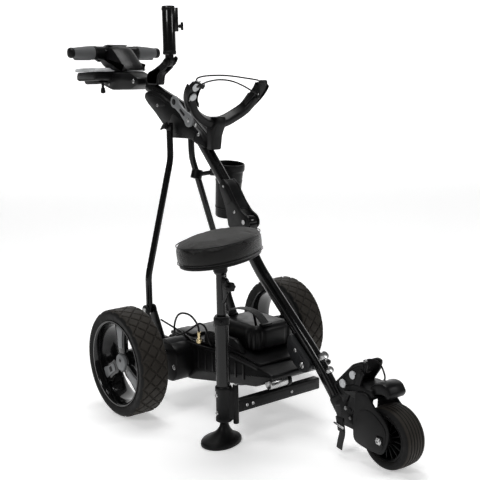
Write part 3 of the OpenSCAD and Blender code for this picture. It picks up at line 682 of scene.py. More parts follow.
def battery():
    """The case's outline is a rounded rectangle whose sides wave in and out by 1.4, 26 times around it."""
    outline = oval(166, 132, 9, 320)
    d = np.gradient(outline, axis=0)
    length = np.cumsum(np.linalg.norm(d, axis=1))
    normal = np.stack([d[:, 1], -d[:, 0]], 1) / np.linalg.norm(d, axis=1)[:, None]
    wave = np.clip(np.cos(length / length[-1] * 26 * 2 * np.pi) * 2, -1, 1) * 1.4 - 1.6
    rows = [(186.2, 5, 0.4), (188, 2, 1), (192, 0.5, 1), (226, 0, 1), (233, 1.2, 0.6), (238, 4, 0.2),
            (243, 9, 0), (245.6, 15, 0), (246, 22, 0)]
    grid = [np.insert(outline + normal * (wave[:, None] * w - inset) + [201, 0], 2, z, axis=1)
            for z, inset, w in rows]
    return skin(np.stack(grid))


strap_path = flowing([(131, -20, 247.5), (140, -20, 264), (190, -20, 273.5), (234, -20, 269.5),
                      (271, -20, 247.8)])
piece("battery_case", "battery", SATIN, [battery()], ["battery_box"], crease=50)
piece("battery_handle", "battery", WEB, [sweep(strap_path, oval(25, 3.2, 6, 24))], ["battery_strap"])
piece("strap_anchors", "battery", SATIN, [block((122, -35, 245), (140, -5, 251), 2),
                                          block((262, -35, 244.6), (280, -5, 250.6), 2)])

lead_points = [(150, -95, 181), (152, -106, 186), (154, -114, 200), (154, -118, 220), (146, -121, 236),
               (130, -123, 240), (112, -124, 232), (84, -125, 214), (56, -125, 200), (32, -124, 190),
               (14, -121, 185), (2, -117, 190), (-2, -115, 204), (4, -115, 222), (18, -117, 238),
               (38, -119, 249), (60, -120, 253), (82, -120, 252), (102, -120, 243), (116, -120, 230),
               (120, -120, 216)]
lead_line = flowing(lead_points, 5)
lead = piece("lead", "chassis", RUBBER, [pipe(lead_line, 2.6, 14)], ["battery_lead"])
plug = piece("plug", "chassis", BRASS,
             [turned([(0.01, 216), (3.6, 216), (5, 214.5), (5, 198), (6.4, 196.5), (6.4, 194), (8, 193),
                      (8, 187), (7, 186), (0.01, 186)], [120, -120, 0], Z, 40)], ["battery_plug"])

# Struts' cup holder ----------------------------------------------------------

CUP = np.array([1.0, 68.0, 485.0])
cup_wall = [(0.01, 0), (27, 0), (30.5, 2), (31.5, 6), (37.4, 126), (38, 130), (40.4, 131.5), (41, 134),
            (41, 147), (40, 149.6), (38, 150), (36.6, 148), (36, 140), (28.2, 8), (26, 4.2), (0.01, 4)]
cup_ribs = [turned([(30.8 + h * 0.047, h), (32.3 + h * 0.047, h + 1.2), (32.3 + h * 0.047, h + 3.8),
                    (30.8 + h * 0.047, h + 5)], CUP, Z, 64) for h in (26, 100)]
ear = plate(np.concatenate([arc((-38, 604), 8, 90, 270), [(-24, 597), (-24, 611)]]), 64.05, 71.95, 1)
ear_web = panel([(-30, 597), (-31, 611), (-19, 618), (-17, 590)], 2, 64.05, 71.95, 1)
piece("cup", "cup", SATIN, [leaned(turned(cup_wall, CUP, Z, 96), CUP, Y, 8),
                            leaned(join(cup_ribs), CUP, Y, 8), ear, ear_web], ["cup_holder"], crease=50)
clamp_line = np.array([0, math.sin(math.radians(16.5)), math.cos(math.radians(16.5))])
clamp_at = np.array([-110.5, 50.0, 596.0])
fork_ear = rounded([(-60, 595), (-60, 613), (-40, 613), (-31, 609), (-29, 604), (-31, 599), (-40, 595)], 5)
piece("cup_arm", "strut_pair", SATIN,
      [turned([(9.05, -13), (15, -13), (16, -12), (16, 12), (15, 13), (9.05, 13)], clamp_at, clamp_line, 48,
              ring=True), rod([-100, 52, 596], [-56, 64, 604], 6), plate(fork_ear, 58.6, 63.6, 1),
       plate(fork_ear, 72.4, 77.4, 1), block((-62, 60, 594.5), (-50, 76, 613.5), 1.5),
       rod([-38, 57, 604], [-38, 79, 604], 3, 0.8)], ["cup_clamp"])

# Upper frame -----------------------------------------------------------------

hinge_side = np.array([(150, 470), (122, 480), (112, 528), (86, 582), (92, 598), (104, 603), (122, 590),
                       (152, 550), (176, 526), (198, 515.5), (207, 503), (207, 491), (198, 481),
                       (181, 479)])
cheek_line = rounded(hinge_side, 6)
piece("hinge_cheeks", "upper_frame", SATIN, both(plate(cheek_line, 13.6, 19.2, 1.8)), ["lower_casing"])
bridge = rounded([(116, 531), (88, 580), (92, 597), (104, 602), (122, 589), (150, 552), (172, 528),
                  (150, 526)], 8)
piece("hinge_bridge", "upper_frame", SATIN, [plate(bridge, -18.6, 18.6, 6)])
piece("hinge_seam", "upper_frame", SATIN,
      both(panel([(120, 534), (98, 576), (104, 590), (116, 582), (142, 548)], 6, 18.6, 20.2, 0.9),
           rod([188, 18, 498], [188, 20.9, 498], 10, 1, 40)))
piece("hinge_screws", "upper_frame", STEEL, both(screw_head((150, 18.6, 520), Y, 4.2, 2.2),
                                                 screw_head((106, 20, 584), Y, 3.4, 1)))

body_line = [(-262, 812), (-256, 826), (-230, 832), (-180, 822), (-110, 788), (-40, 752), (10, 718),
             (29, 694), (29, 678), (-6, 686), (-40, 701), (-132, 701), (-158, 728), (-206, 768),
             (-244, 794)]
swell = rounded([(-120, 716), (-136, 742), (-110, 772), (-60, 748), (-8, 716), (-16, 700), (-60, 708)], 12)
for side in SIDES:
    shell = [panel(body_line, 10, 0.3, 21, 5), plate(swell, 20, 23.2, 2.6)]
    piece("casing_shell_" + side, "upper_frame", SATIN, on_side(side, shell), ["casing_" + side])
piece("casing_channel", "upper_frame", SATIN,
      both(panel([(-246, 812), (-228, 822), (-180, 812), (-150, 797), (-150, 788), (-206, 786)],
                 5, 20.4, 22.4, 1)))
piece("casing_screws", "upper_frame", STEEL,
      [mirrored(screw_head((x, 21, z), Y, 5, 2.4)) for x, z in ((-8, 738), (4, 714), (-190, 790))]
      + [screw_head((x, 21, z), Y, 4, 2.2) for x, z in ((-8, 738), (4, 714), (-190, 790))]
      + [rod([-70, -20.9, 772], [-70, 20.9, 772], 5)], ["upper_screws"])

PIVOT, TIP = np.array([-96.0, 800.0]), np.array([-32.0, 752.0])


def dog_bone():
    """Two arcs about the lever's ends, joined by a narrower waist."""
    along = TIP - PIVOT
    way = math.degrees(math.atan2(*along[::-1]))
    one, two = arc(PIVOT, 17, way + 48, way + 312, 24), arc(TIP, 19, way + 232, way + 488, 24)
    half_waist = np.array([-along[1], along[0]]) / np.linalg.norm(along) * 10.5
    waist = (PIVOT + TIP) / 2
    return np.concatenate([one, [waist - half_waist], two, [waist + half_waist]])


def bar_between(a, b, w, low, high, edge=1.0):
    """A straight flat bar with round ends between two points of the side plane."""
    a, b = np.asarray(a, float), np.asarray(b, float)
    way = math.degrees(math.atan2(*(b - a)[::-1]))
    outline = np.concatenate([arc(a, w, way + 90, way + 270), arc(b, w, way - 90, way + 90)])
    return plate(outline, low, high, edge)


piece("latch", "latch", SILVER, [plate(dog_bone(), -29.4, -21.6, 2.2)], ["latch_lever"])
piece("latch_hub", "latch", SATIN, [rod([-96, -30.6, 800], [-96, -29, 800], 8.5, 0.7, 32),
                                    bar_between((-66, 778), (-50, 766), 4, -30.1, -29, 0.5)])
piece("latch_screw", "latch", STEEL, [mirrored(screw_head((-32, 29, 752), Y, 6, 1.4))])

# Upper bag cradle ------------------------------------------------------------

neck = rounded([(30, 676), (55, 674), (62, 712), (80, 742), (78, 762), (44, 762), (32, 732)], 6)
bed_path = flowing([(84, -104, 812), (72, -84, 783), (60, -58, 764), (54, -28, 750), (53, 0, 746),
                    (54, 28, 750), (60, 58, 764), (72, 84, 783), (84, 104, 812)], 8)
arm_path = flowing([(76, 88, 788), (88, 102, 808), (104, 109, 828), (123, 108, 851)], 8)
arm_size = np.interp(np.linspace(0, 1, len(arm_path)), [0, 0.4, 0.8, 1], [1.0, 1.0, 0.92, 0.6])
lie = np.array([0.8, 0.0, -0.55])
FACE = np.array([0.08, 0.99, 0.0])       # across the arms' broad faces, which look forwards
piece("yoke_bed", "upper_frame", SATIN, [sweep(bed_path, oval(32, 22, 4.5, 36), lie),
                                         plate(neck, -16, 16, 4)], ["upper_yoke"])
piece("yoke_ribs", "upper_frame", SATIN, [sweep(bed_path[12:-12] + [0, 0, 1.5], oval(33, 8, 5, 28), lie)]
      + both(panel([(38, 690), (52, 688), (58, 716), (70, 742), (52, 748), (40, 728)], 5, 14.6, 16.4, 0.9)))
piece("bag_arms", "upper_frame", SATIN, both(sweep(arm_path, oval(37, 13, 5, 36), FACE, arm_size)),
      ["upper_arms"])
piece("bag_arm_rims", "upper_frame", SATIN,
      both(sweep(arm_path[2:-3] + FACE * 16.5, oval(4, 19, 3, 20), FACE),
           sweep(arm_path[2:-3] - FACE * 16.5, oval(4, 19, 3, 20), FACE)))
ARM_MID, ARM_TIP = np.array([90.0, 100, 808]), np.array([124.0, 106, 852])


def arm_pad(t):
    """An oval pad on the inner face of an arm."""
    at = ARM_MID + t * (ARM_TIP - ARM_MID) + np.array([4.5, 4.8, -4])
    facing = np.array([0.79, 0.0, -0.61])
    pad = turned([(0.01, 0), (8.6, 0), (9.4, 1), (9.4, 3.5), (8.4, 4.6), (0.01, 5)], at, facing, 40)
    return (pad[0] - at) * [1, 1, 1.15] + at, pad[1]


piece("arm_pads", "upper_frame", PALE, [mirrored(arm_pad(0.27)), mirrored(arm_pad(0.80))], ["upper_pads"])
bed_pad = both(sweep(bed_path[38:56] + np.array([2.6, 0, 6.4]), oval(17, 5, 4, 24), lie))
piece("bed_pads", "upper_frame", GRIP, bed_pad)
cord_one = flowing([(120, -106, 856), (124, -102, 862), (126, -80, 866), (126, -40, 867), (124, 0, 865),
                    (122, 50, 859), (119, 88, 854), (117, 96, 852)], 6)
cord_two = flowing([(134, -98, 846), (140, -84, 852), (142, -50, 856), (140, -10, 852), (134, 30, 840),
                    (126, 66, 826), (118, 92, 816)], 6)
piece("bag_cords", "upper_frame", RUBBER, [pipe(cord_one, 2, 12), pipe(cord_two, 2, 12)], ["upper_cords"])
buckle = curve([(110, 94, 806), (110, 94, 846), (120, 94, 848), (120, 94, 808), (110, 94, 806)], 3, 4)[:-1]
piece("cord_buckle", "upper_frame", SATIN, [sweep(buckle, oval(7, 3.4, 4, 16), Y, closed=True),
                                            rod([109, 94, 827], [121, 94, 827], 1.8)])
piece("cord_hooks", "upper_frame", STEEL,
      [rod([118, -108, 853], [131, -100, 853], 2.4), rod([128, -102, 845], [138, -95, 846], 2.2),
       rod([114, 100, 852], [120, 92, 853], 2.4), rod([114, 97, 815], [121, 90, 817], 2.2)]
      + both(screw_head((96, 111.5, 808), Y, 4, 2)))
piece("cord_tabs", "upper_frame", WEB,
      [sweep(flowing([(126, -108, 838), (132, -106, 842), (136, -100, 846), (136, -96, 842),
                      (131, -98, 835)], 5), oval(9, 1.8, 4, 16), [0.5, 0.8, 0.2]),
       sweep(flowing([(124, 108, 838), (127, 102, 846), (122, 96, 850)], 5), oval(10, 1.8, 4, 16),
             [0.7, 0.6, 0.1])])

# Handle ----------------------------------------------------------------------

GRIP_AT = (-448, 944)
DIAL = np.array([-486.0, -30.0, 936.0])
DIAL_WAY = np.array([-math.cos(math.radians(10)), 0, -math.sin(math.radians(10))])
cowl_line = [(-500, 930), (-492, 954), (-474, 965), (-440, 968), (-402, 958), (-340, 904), (-330, 890),
             (-440, 890), (-470, 904)]
cuff = [(0.01, -76), (18, -76), (20, -74.5), (20.4, -66), (19.4, -64), (19.4, 64), (20.4, 66), (20, 74.5),
        (18, 76), (0.01, 76)]
piece("handle_cowl", "handle", SATIN,
      [panel(cowl_line, 14, -38, 38, 17), turned(cuff, [GRIP_AT[0], 0, GRIP_AT[1]], Y, 64)],
      ["handle_body"])
piece("dial_collar", "handle", GLOSS, [turned([(13.1, 0), (17, 0), (17, 9), (15.8, 10.6), (13.1, 10.6)], DIAL,
                                              DIAL_WAY, 56, ring=True)])


def dial_cap():
    """A turned cap whose rim's radius waves by 0.5, 24 times around."""
    a = np.linspace(0, 2 * np.pi, 96, endpoint=False)
    knurl = np.cos(a * 24) * 0.5
    rows = [(0.01, 0), (12.2, 0), (12.2, 9), (11.4, 13), (9.4, 14), (0.01, 13.6)]
    _, one, two = across(DIAL_WAY)
    spokes = np.cos(a)[:, None] * one + np.sin(a)[:, None] * two
    return skin(np.stack([DIAL + (r + knurl * (r > 11.9))[:, None] * spokes + DIAL_WAY * h for r, h in rows]))


piece("dial", "dial", STEEL, [dial_cap()], ["speed_dial"], crease=60)
piece("dial_mark", "dial", SATIN, [rod(DIAL + DIAL_WAY * 13 + Z * 4, DIAL + DIAL_WAY * 14.6 + Z * 4, 1.6)])
# painted highlight: the pale silver crescent along the cowl's top stands for the highlight that falls there;
# the two strips on the cowl's sides are silver trim
highlight_crescent = [(-486, 948), (-478, 961), (-462, 967), (-440, 968.6), (-424, 966), (-440, 963.4), (-462, 961),
            (-478, 954)]
piece("cowl_inlay", "handle", SILVER, [panel(highlight_crescent, 3, -30, 30, 2), *both(
    panel([(-484, 934), (-472, 952), (-446, 957), (-420, 950), (-446, 951), (-468, 944)], 3, 41.4, 43, 0.7))])
grip_rows = [(0.01, 0), (19, 0), (20.4, 1.5), (20, 12), (18.6, 30), (16.8, 48), (15, 63), (14, 66),
             (0.01, 66)]
grip = turned(grip_rows, [GRIP_AT[0], 75.6, GRIP_AT[1]], Y, 72)
finger = plate(spun(rounded([(12, -9), (21.5, -6), (21.5, 6), (12, 9)], 3), 250, np.array([-448, 0, 944])),
               80, 136, 3)
piece("grips", "handle", GRIP, both(grip, finger), ["handle_grips"])
piece("grip_ends", "handle", SATIN,
      both(turned([(0.01, 0), (14.2, 0), (15.4, 2), (15.4, 9), (13.8, 12.4), (10, 13.8), (0.01, 14)],
                  [GRIP_AT[0], 141, GRIP_AT[1]], Y, 56)))
piece("console_tray", "handle", SATIN,
      [panel([(-540, 866), (-536, 888), (-420, 888), (-420, 868), (-432, 862), (-530, 862)], 7, -85, 85, 4),
       panel([(-478, 887), (-478, 848), (-430, 834), (-320, 834), (-277, 849), (-277, 867), (-330, 887)],
             10, -30, 30, 6), panel([(-532, 858), (-528, 864), (-440, 864), (-436, 856), (-460, 852),
                                     (-520, 852)], 4, -64, -34, 2)], ["console_body"])
lid = rounded([(-543, 889), (-542, 898), (-536, 900), (-424, 900), (-417, 896), (-417, 889)], 3)
piece("console_lid", "handle", PALE, [plate(lid, -88, 88, 3)], ["console_top"])
piece("console_display", "handle", GLOSS, [block((-532, 46, 898), (-470, 78, 901), 1.2),
                                           block((-532, -78, 898), (-506, -46, 901), 1.2)])
piece("tray_details", "handle", PLATE, both(block((-536, 30, 868), (-430, 86, 880), 2)))
piece("thumb_screw", "console_thumbscrew", SATIN,
      [rod([-446, -48, 842], [-446, -48, 874], 4),
       turned([(0.01, 826), (5, 826), (6, 828), (6, 840), (5, 842), (0.01, 842)], [-446, -48, 0], Z, 32),
       panel([(-457, 838), (-446, 841), (-435, 838), (-433, 826), (-446, 824), (-459, 826)],
             4, -50.4, -45.6, 1.8)], ["console_screw"])
piece("neck_bolts", "handle", STEEL, both(screw_head((-300, 29.6, 858), Y, 6, 3),
                                          screw_head((-440, 29.6, 852), Y, 4, 2)))

# Umbrella holder -------------------------------------------------------------

TILT = np.array([-156.0, 908.0])
outer_side = np.concatenate([rounded([(-244, 886), (-257, 872), (-254, 848), (-202, 846), (-196, 872),
                                      (-152, 894)], 6)[4:-1], arc(TILT, 12, -30, 150, 12),
                             [(-186, 903), (-214, 892)]])
piece("umbrella_elbow", "handle", SATIN, both(plate(outer_side, 7.4, 12.4, 1.8))
      + [panel([(-246, 885), (-257, 872), (-254, 848), (-202, 846), (-198, 872), (-176, 884), (-190, 898),
                (-214, 891)], 8, -12.4, 12.4, 4)], ["umbrella_bracket"])
piece("elbow_nut", "handle", SATIN, both(rod([-156, 12, 908], [-156, 17, 908], 8, 1.2, 6))
      + [panel([(-166, 916), (-150, 926), (-140, 918), (-150, 906), (-160, 898), (-170, 902)],
               5, 16.5, 21, 1.6)])
piece("elbow_pin", "handle", STEEL, [rod([-156, -14, 908], [-156, 14, 908], 3)])
tube_rows = [(0.01, 936), (15, 936), (15, 1057.5), (16, 1059), (17.2, 1059), (18, 1057.5), (18, 929.5),
             (16.5, 928), (0.01, 928)]
RIB_WAY = np.array([math.sqrt(0.5), math.sqrt(0.5), 0])


def umbrella_rib():
    """A rounded rib along the socket, on its screw side."""
    outline = oval(13, 10, 4, 28) + [20.5, 0]
    rows = [(990, 2.4), (991, 1), (993, 0), (1051, 0), (1053, 1), (1054, 2.4)]
    grid = np.stack([np.insert(outline * [1, 1 - k / 6], 2, z, axis=1) for z, k in rows])
    turn = np.array([[RIB_WAY[0], RIB_WAY[1], 0], [-RIB_WAY[1], RIB_WAY[0], 0], [0, 0, 1]])
    return skin(grid @ turn + [-152, 0, 0])


piece("umbrella_socket", "umbrella_holder", TUBE,
      [turned(tube_rows, [-152, 0, 0], Z, 96),
       umbrella_rib(), rod([-156, -6.9, 908], [-156, 6.9, 908], 12, 1.5, 40),
       block((-166, -6.9, 908), (-142, 6.9, 929), 1.5)], ["umbrella_tube"])
piece("socket_bands", "umbrella_holder", SATIN,
      [turned([(17.9, z), (18.8, z + 1), (18.8, z + 7), (17.9, z + 8)], [-152, 0, 0], Z, 64, ring=True)
       for z in (930, 1047)])
SCREW = np.array([-152.0, 0, 1004])
wing_at = SCREW + RIB_WAY * 37
side_way = np.cross(RIB_WAY, Z)
wing_path = flowing([wing_at - Z * 10 - side_way * 1.5, wing_at - Z * 6, wing_at, wing_at + Z * 6,
                     wing_at + Z * 10 + side_way * 1.5], 5)
piece("socket_screw", "umbrella_thumbscrew", SATIN,
      [rod(SCREW + RIB_WAY * 16, SCREW + RIB_WAY * 36, 3),
       rod(SCREW + RIB_WAY * 28, SCREW + RIB_WAY * 37.6, 5, 1.4),
       sweep(wing_path, oval(7.4, 4.6, 2.4, 20), RIB_WAY)], ["umbrella_screw"])

# Seat ------------------------------------------------------------------------

SEAT = centre("seat_outer_tube") * [1, 1, 0]         # the foot of the post's line
SEAT_MIDDLE = centre("seat_cushion")[2]
SEAT_LOW = SEAT_MIDDLE - 27
SEAT_TURN = 25
PAD = (182, 262)                                     # the cushion's width and length
POST_TOP = SEAT_LOW - 14


def lean(shape):
    """Leans a part of the seat with its cushion, by 5.5 degrees about the cushion's middle."""
    return leaned(shape, SEAT + Z * SEAT_MIDDLE, (0.7915, -0.6112, 0), 5.5)


def on_post(*shapes):
    """Shapes given from the foot of the post's line, moved to it."""
    return [(points + SEAT, faces) for points, faces in shapes]


def seat_oval(width, length, steps=144):
    """The seat's outline seen from above, turned as the seat is."""
    return swung(oval(width, length, 2.1, steps), SEAT_TURN) + SEAT[:2]


def pad_shape():
    """The cushion before it is filled: a flat bottom, a tucked lower edge, an upright side, a crowned top."""
    rows = [(0, 0.60), (0, 0.80), (0, 0.90), (1.5, 0.925), (5, 0.944), (12, 0.958), (26, 0.962), (40, 0.958),
            (45.5, 0.948), (48.4, 0.92), (49.6, 0.86), (50.4, 0.7), (51, 0.45), (51.2, 0.2)]
    return stack(seat_oval(*PAD), rows, SEAT[:2], SEAT_LOW)


def fill(pad, cap):
    """Blows a pad up as cloth with air in it, for twenty frames, and moves no point further than cap."""
    bpy.context.view_layer.objects.active = pad
    remesh = pad.modifiers.new("even", "REMESH")
    remesh.mode, remesh.voxel_size = "VOXEL", 0.005
    even = bpy.data.meshes.new_from_object(pad.evaluated_get(bpy.context.evaluated_depsgraph_get()))
    pad.modifiers.clear()
    pad.data = even
    start = points_of(even)
    held = np.flatnonzero(start[:, 2] < (SEAT_LOW + 3) * MM)
    pad.vertex_groups.new(name="held").add(held.tolist(), 1.0, "REPLACE")
    cloth = pad.modifiers.new("air", "CLOTH")
    cloth.settings.vertex_group_mass = "held"
    cloth.settings.use_pressure, cloth.settings.uniform_pressure_force = True, 4.0
    cloth.settings.effector_weights.gravity = 0.0
    cloth.settings.tension_stiffness = cloth.settings.compression_stiffness = 18.0
    cloth.settings.bending_stiffness = 1.5
    for step in range(1, 21):
        bpy.context.scene.frame_set(step)
    blown = pad.evaluated_get(bpy.context.evaluated_depsgraph_get()).to_mesh()
    move = points_of(blown) - start
    pad.modifiers.clear()
    size = np.linalg.norm(move, axis=1)
    move *= np.minimum(1, cap / np.maximum(size, 1e-9))[:, None]
    even.vertices.foreach_set("co", (start + move).ravel())
    even.update()
    bpy.context.scene.frame_set(1)


def lean_piece(made):
    """Leans a piece's own mesh with the seat."""
    at, _ = lean((in_mm(points_of(made.data)), None))
    made.data.vertices.foreach_set("co", in_metres(at).ravel())
    made.data.update()


cushion = piece("cushion", "seat", VINYL, [pad_shape()], ["seat_cushion"], crease=180)
fill(cushion, 0.006)
cushion.data.shade_smooth()                      # the even mesh has neither shading nor a material
cushion.data.materials.clear()
cushion.data.materials.append(VINYL.material)
smooth = cushion.modifiers.new("smooth", "SUBSURF")
smooth.levels = smooth.render_levels = 1


def seam(height, r):
    """A welt around the cushion at a height, lying on its outermost points there."""
    at = in_mm(points_of(cushion.data))
    near = at[np.abs(at[:, 2] - SEAT_LOW - height) < 5]
    away, way = near[:, :2] - SEAT[:2], seat_oval(*PAD, steps=96) - SEAT[:2]
    unit = way / np.linalg.norm(way, axis=1)[:, None]
    reach = np.linalg.norm(away, axis=1)
    close = (away / np.maximum(reach, 1e-6)[:, None]) @ unit.T > 0.998
    radius = np.where(close, reach[:, None], 0).max(0)
    radius = np.where(radius > 40, radius, np.linalg.norm(way, axis=1) * 0.96)
    radius = (np.roll(radius, 1) + 2 * radius + np.roll(radius, -1)) / 4
    path = np.insert(SEAT[:2] + unit * radius[:, None], 2, SEAT_LOW + height, axis=1)
    return sweep(path, oval(2 * r, 2 * r, steps=12), Z, closed=True)


lean_piece(piece("cushion_seams", "seat", SATIN, [seam(46, 1.3), seam(7, 1.2)]))
lean_piece(cushion)
board_rows = [(-4, 0.90), (-4, 0.97), (-2, 1.0), (2, 1.0), (3, 0.97), (3, 0.9)]
piece("seat_board", "seat", SATIN, [lean(stack(seat_oval(168, 246), board_rows, SEAT[:2], SEAT_LOW))])


def turned_on_post(rows, steps=64, ring=False):
    """A profile turned about the post's line."""
    return turned(rows, (0, 0, 0), Z, steps, ring)


post = [(0.01, 205), (10, 205), (11, 206.5), (11, POST_TOP - 26), (13.4, POST_TOP - 24),
        (15, POST_TOP - 22), (15, POST_TOP - 3), (13.6, POST_TOP - 0.6), (7, POST_TOP - 0.5),
        (7, POST_TOP + 4), (0.01, POST_TOP + 4)]
latch_web = panel([(6, 340), (12, 342), (27, 370), (28, 398), (22, 404), (6, 404)], 5, -5, 5, 1.5)
piece("post", "seat_column", TUBE, on_post(turned_on_post(post), latch_web), ["seat_post"])
bush = [(15.2, POST_TOP - 20), (17, POST_TOP - 18), (17, POST_TOP - 8), (15.2, POST_TOP - 6)]
piece("post_bush", "seat_column", SATIN, on_post(turned_on_post(bush, 48, ring=True)))


def knob():
    """A knob turned about a line along X, whose radius waves by 0.9, six times around."""
    a = np.linspace(0, 2 * np.pi, 96, endpoint=False)
    rows = [(2, 0.01), (2, 4), (27, 4), (27.4, 8), (29, 10), (43, 10.4), (45, 8.6), (45.6, 5), (45.8, 0.01)]
    wave = 0.9 * np.cos(a * 6)
    grid = [np.stack([np.full(96, x), (r + (r > 7) * wave) * np.cos(a), (r + (r > 7) * wave) * np.sin(a)], 1)
            for x, r in rows]
    return skin(np.stack(grid) + [0, 0, 386])


piece("post_knob", "seat_clamp", SATIN, on_post(knob()), ["seat_knob"], crease=50)
outer = [(11.06, 162), (11.06, 311), (12, 312), (15.4, 312), (16.5, 310.8), (16.5, 141), (15.4, 140),
         (9.1, 140), (9.1, 151), (11.06, 160)]
piece("outer_post", "chassis", TUBE, on_post(turned_on_post(outer, 72, ring=True)), ["seat_outer_tube"])
collar = [(16.5, 290), (18.6, 291), (19.2, 293), (19.2, 306), (18.4, 308), (16.5, 309)]
piece("post_collar", "chassis", SATIN,
      on_post(turned_on_post(collar, 72, ring=True), rod((12, -10, 299), (20, -17, 299), 3.4, 1)))
flange = rounded([(8, -14), (26, 12), (20, 24), (-6, 18)], 4)
flange_rows = [(58, 12 / 14), (59, 13.4 / 14), (61, 1), (131, 1), (133, 13.4 / 14), (134, 12 / 14)]
socket = [(9.1, 52), (17, 52), (20, 54), (20, 62), (18.6, 64), (18.6, 126), (20, 128), (20, 137), (18, 139.9),
          (9.1, 139.9)]
piece("foot_socket", "chassis", SATIN,
      on_post(turned_on_post(socket, 72, ring=True), stack(flange, flange_rows, flange.mean(0)),
              rod((24, 18, 48), (24, 18, 144), 7, 1.4)), ["seat_socket"])
piece("socket_bolts", "chassis", STEEL,
      on_post(screw_head((24, 18, 144), Z, 5, 2.5), screw_head((-3, -18.4, 118), -Y, 5, 2.5),
              screw_head((-3, -18.4, 74), -Y, 5, 2.5)))
bar_lo, bar_hi = (in_mm([*corner]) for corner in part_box("seat_bar"))
piece("cross_arm", "chassis", SATIN,
      [block(bar_lo, bar_hi, 2.5), block(bar_lo + [-1.2, 14, 6], bar_hi + [1.2, -14, -6], 1)], ["seat_bar"])
piece("arm_screws", "chassis", STEEL, [screw_head((bar_hi[0] + 1, y, 87), (1, 0, 0), 4, 2.2)
                                       for y in (bar_lo[1] + 26, bar_lo[1] + 44, bar_hi[1] - 96)])


def foot():
    """An oval foot, turned by 20 degrees, that narrows upwards and leans in to the post's line."""
    outline = swung(oval(88, 116, 2.1, 96), 20)
    rows = [(0, 0.94, -10), (1.5, 0.985, -10), (4, 1, -10), (9, 0.99, -10), (12, 0.95, -10), (14, 0.80, -9),
            (20, 0.60, -6), (30, 0.36, -2), (40, 0.235, 0), (48, 0.2, 0)]
    return skin(np.stack([np.insert(outline * k + [0, y], 2, z, axis=1) for z, k, y in rows]))


piece("foot_pad", "chassis", RUBBER, on_post(foot()), ["seat_foot"], crease=60)
piece("foot_rod", "chassis", TUBE, on_post(rod((0, 0, 40), (0, 0, 148), 9, 1, 40)))

# Lower bag cradle ------------------------------------------------------------

wing_line = rounded([(522, 158), (584, 219), (612, 231), (627, 228), (622, 206), (586, 158), (548, 128)], 8)
border = rounded([(530, 157), (588, 214), (612, 225), (620, 222), (616, 207), (582, 162), (549, 135)], 7)
piece("cradle_wings", "chassis", SATIN, both(plate(wing_line, 20.5, 27.5, 1.8)), ["lower_cradle"])


def raised_border(outline, low, high, w):
    """A rim that stands along an outline's edge, on the wing's outer face."""
    path = np.insert(outline, 1, (low + high) / 2, axis=1)
    return sweep(path, oval(high - low, w, 4, 12), Y, closed=True)


piece("wing_borders", "chassis", SATIN, both(raised_border(border, 26.5, 30, 3.2)))
piece("wing_pads", "chassis", PALE,
      both(*[turned([(0.01, 0), (9.6, 0), (10, 0.6), (10, 3.4), (8.6, 4.6), (4, 5), (0.01, 5)],
                    [x, 27.52, z], Y, 40) for x, z in ((555, 167), (587, 194))]), ["lower_pads"])
piece("cradle_stay", "chassis", SATIN, [mirrored(bar_between((612, 203), (582, 112), 10, 29, 34, 1.2)),
                                        mirrored(bar_between((596, 190), (562, 132), 8, 28, 32, 1)),
                                        rod([612, -35.6, 203], [612, -24, 203], 6, 1),
                                        rod([582, -36, 112], [582, -24, 112], 6, 1)])
piece("wing_web", "chassis", SATIN,
      [panel([(540, 134), (560, 150), (596, 186), (606, 200), (596, 204), (548, 158)], 6, -21, 21, 3)])
loop = flowing([(616, -20, 233), (624, -12, 236), (634, -2, 232), (642, 4, 222), (646, 8, 208),
                (648, 10, 196), (646, 10, 184)], 6)
piece("loop_cord", "chassis", RUBBER, [pipe(loop, 2, 12)], ["lower_cords"])
piece("loop_ends", "chassis", STEEL, [rod([612, -21, 231], [620, -17, 234.5], 3),
                                      rod([646, 10, 178], [646, 10, 190], 3)])
strap_line = flowing([(553, -44, 118), (558, -44, 100), (566, -44, 74), (568, -44, 56), (562, -44, 34),
                      (558, -44, 15)], 6)
piece("hanging_strap", "chassis", WEB, [sweep(strap_line, oval(3, 18, 5, 20))], ["lower_strap"])
piece("strap_buckle", "chassis", SATIN,
      [panel([(548, 92), (572, 92), (574, 60), (556, 58)], 3, -47.2, -41, 1.2)])
piece("strap_bar", "chassis", STEEL, [rod([546, -49, 76], [577, -49, 70], 2.4)])

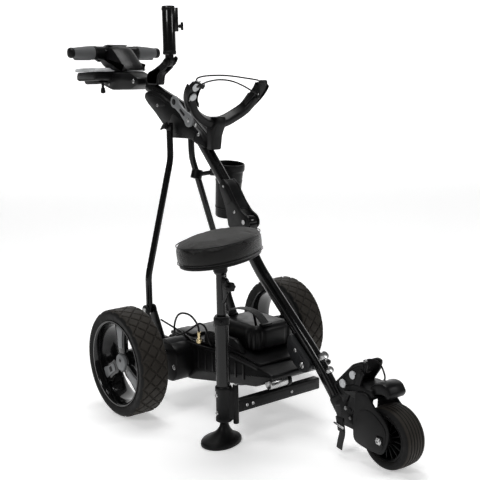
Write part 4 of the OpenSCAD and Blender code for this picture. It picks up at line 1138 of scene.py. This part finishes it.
# What stays as it was designed -----------------------------------------------

for node, finish in (("axles", STEEL), ("fold_pin", STEEL), ("seat_plate", TUBE), ("controller", PLATE),
                     ("motors", PLATE)):
    for place in bpy.data.objects[node].material_slots:
        place.material = finish.material


def sheet(name, corners, white, roughness, glow):
    """A flat sheet of the studio that shines a little by itself."""
    mesh = bpy.data.meshes.new(name)
    mesh.from_pydata(corners, [], [(0, 1, 2, 3)])
    paint = bpy.data.materials.new(name)
    paint.use_nodes = True
    for socket, value in (("Base Color", (white, white, white, 1)), ("Roughness", roughness),
                          ("Emission Color", (1, 1, 1, 1)), ("Emission Strength", glow)):
        paint.node_tree.nodes["Principled BSDF"].inputs[socket].default_value = value
    mesh.materials.append(paint)
    return bpy.data.objects.new(name, mesh)


def lamp(name, at, size, power):
    """A square lamp that faces the trolley's middle."""
    data = bpy.data.lights.new(name, "AREA")
    data.size, data.energy = size, power
    made = bpy.data.objects.new(name, data)
    way = Vector((0, 0, 0.45)) - Vector(at)
    made.matrix_world = Matrix.Translation(at) @ way.to_track_quat("-Z", "Y").to_matrix().to_4x4()
    return made


def studio():
    """A pale floor, an even white surround and three soft lamps."""
    made = [sheet("floor", [(-14, -14, 0), (14, -14, 0), (14, 14, 0), (-14, 14, 0)], 0.9, 0.6, 0.42),
            sheet("backdrop", [(-10.4, -2, -0.5), (-0.6, 10.6, -0.5), (-0.6, 10.6, 7), (-10.4, -2, 7)],
                  0.8, 0.5, 0.9), lamp("key", (1.0, -2.6, 2.6), 0.8, 30),
            lamp("side", (3.2, 2.2, 2.4), 0.8, 26), lamp("top", (-0.4, 0.2, 3.6), 1.6, 60)]
    for thing in made:
        bpy.context.scene.collection.objects.link(thing)
    world = bpy.data.worlds.new("studio")
    world.use_nodes = True
    world.node_tree.nodes["Background"].inputs["Color"].default_value = (1, 1, 1, 1)
    world.node_tree.nodes["Background"].inputs["Strength"].default_value = 0.08
    bpy.context.scene.world = world
    bpy.context.scene.view_settings.view_transform = "Standard"


studio()
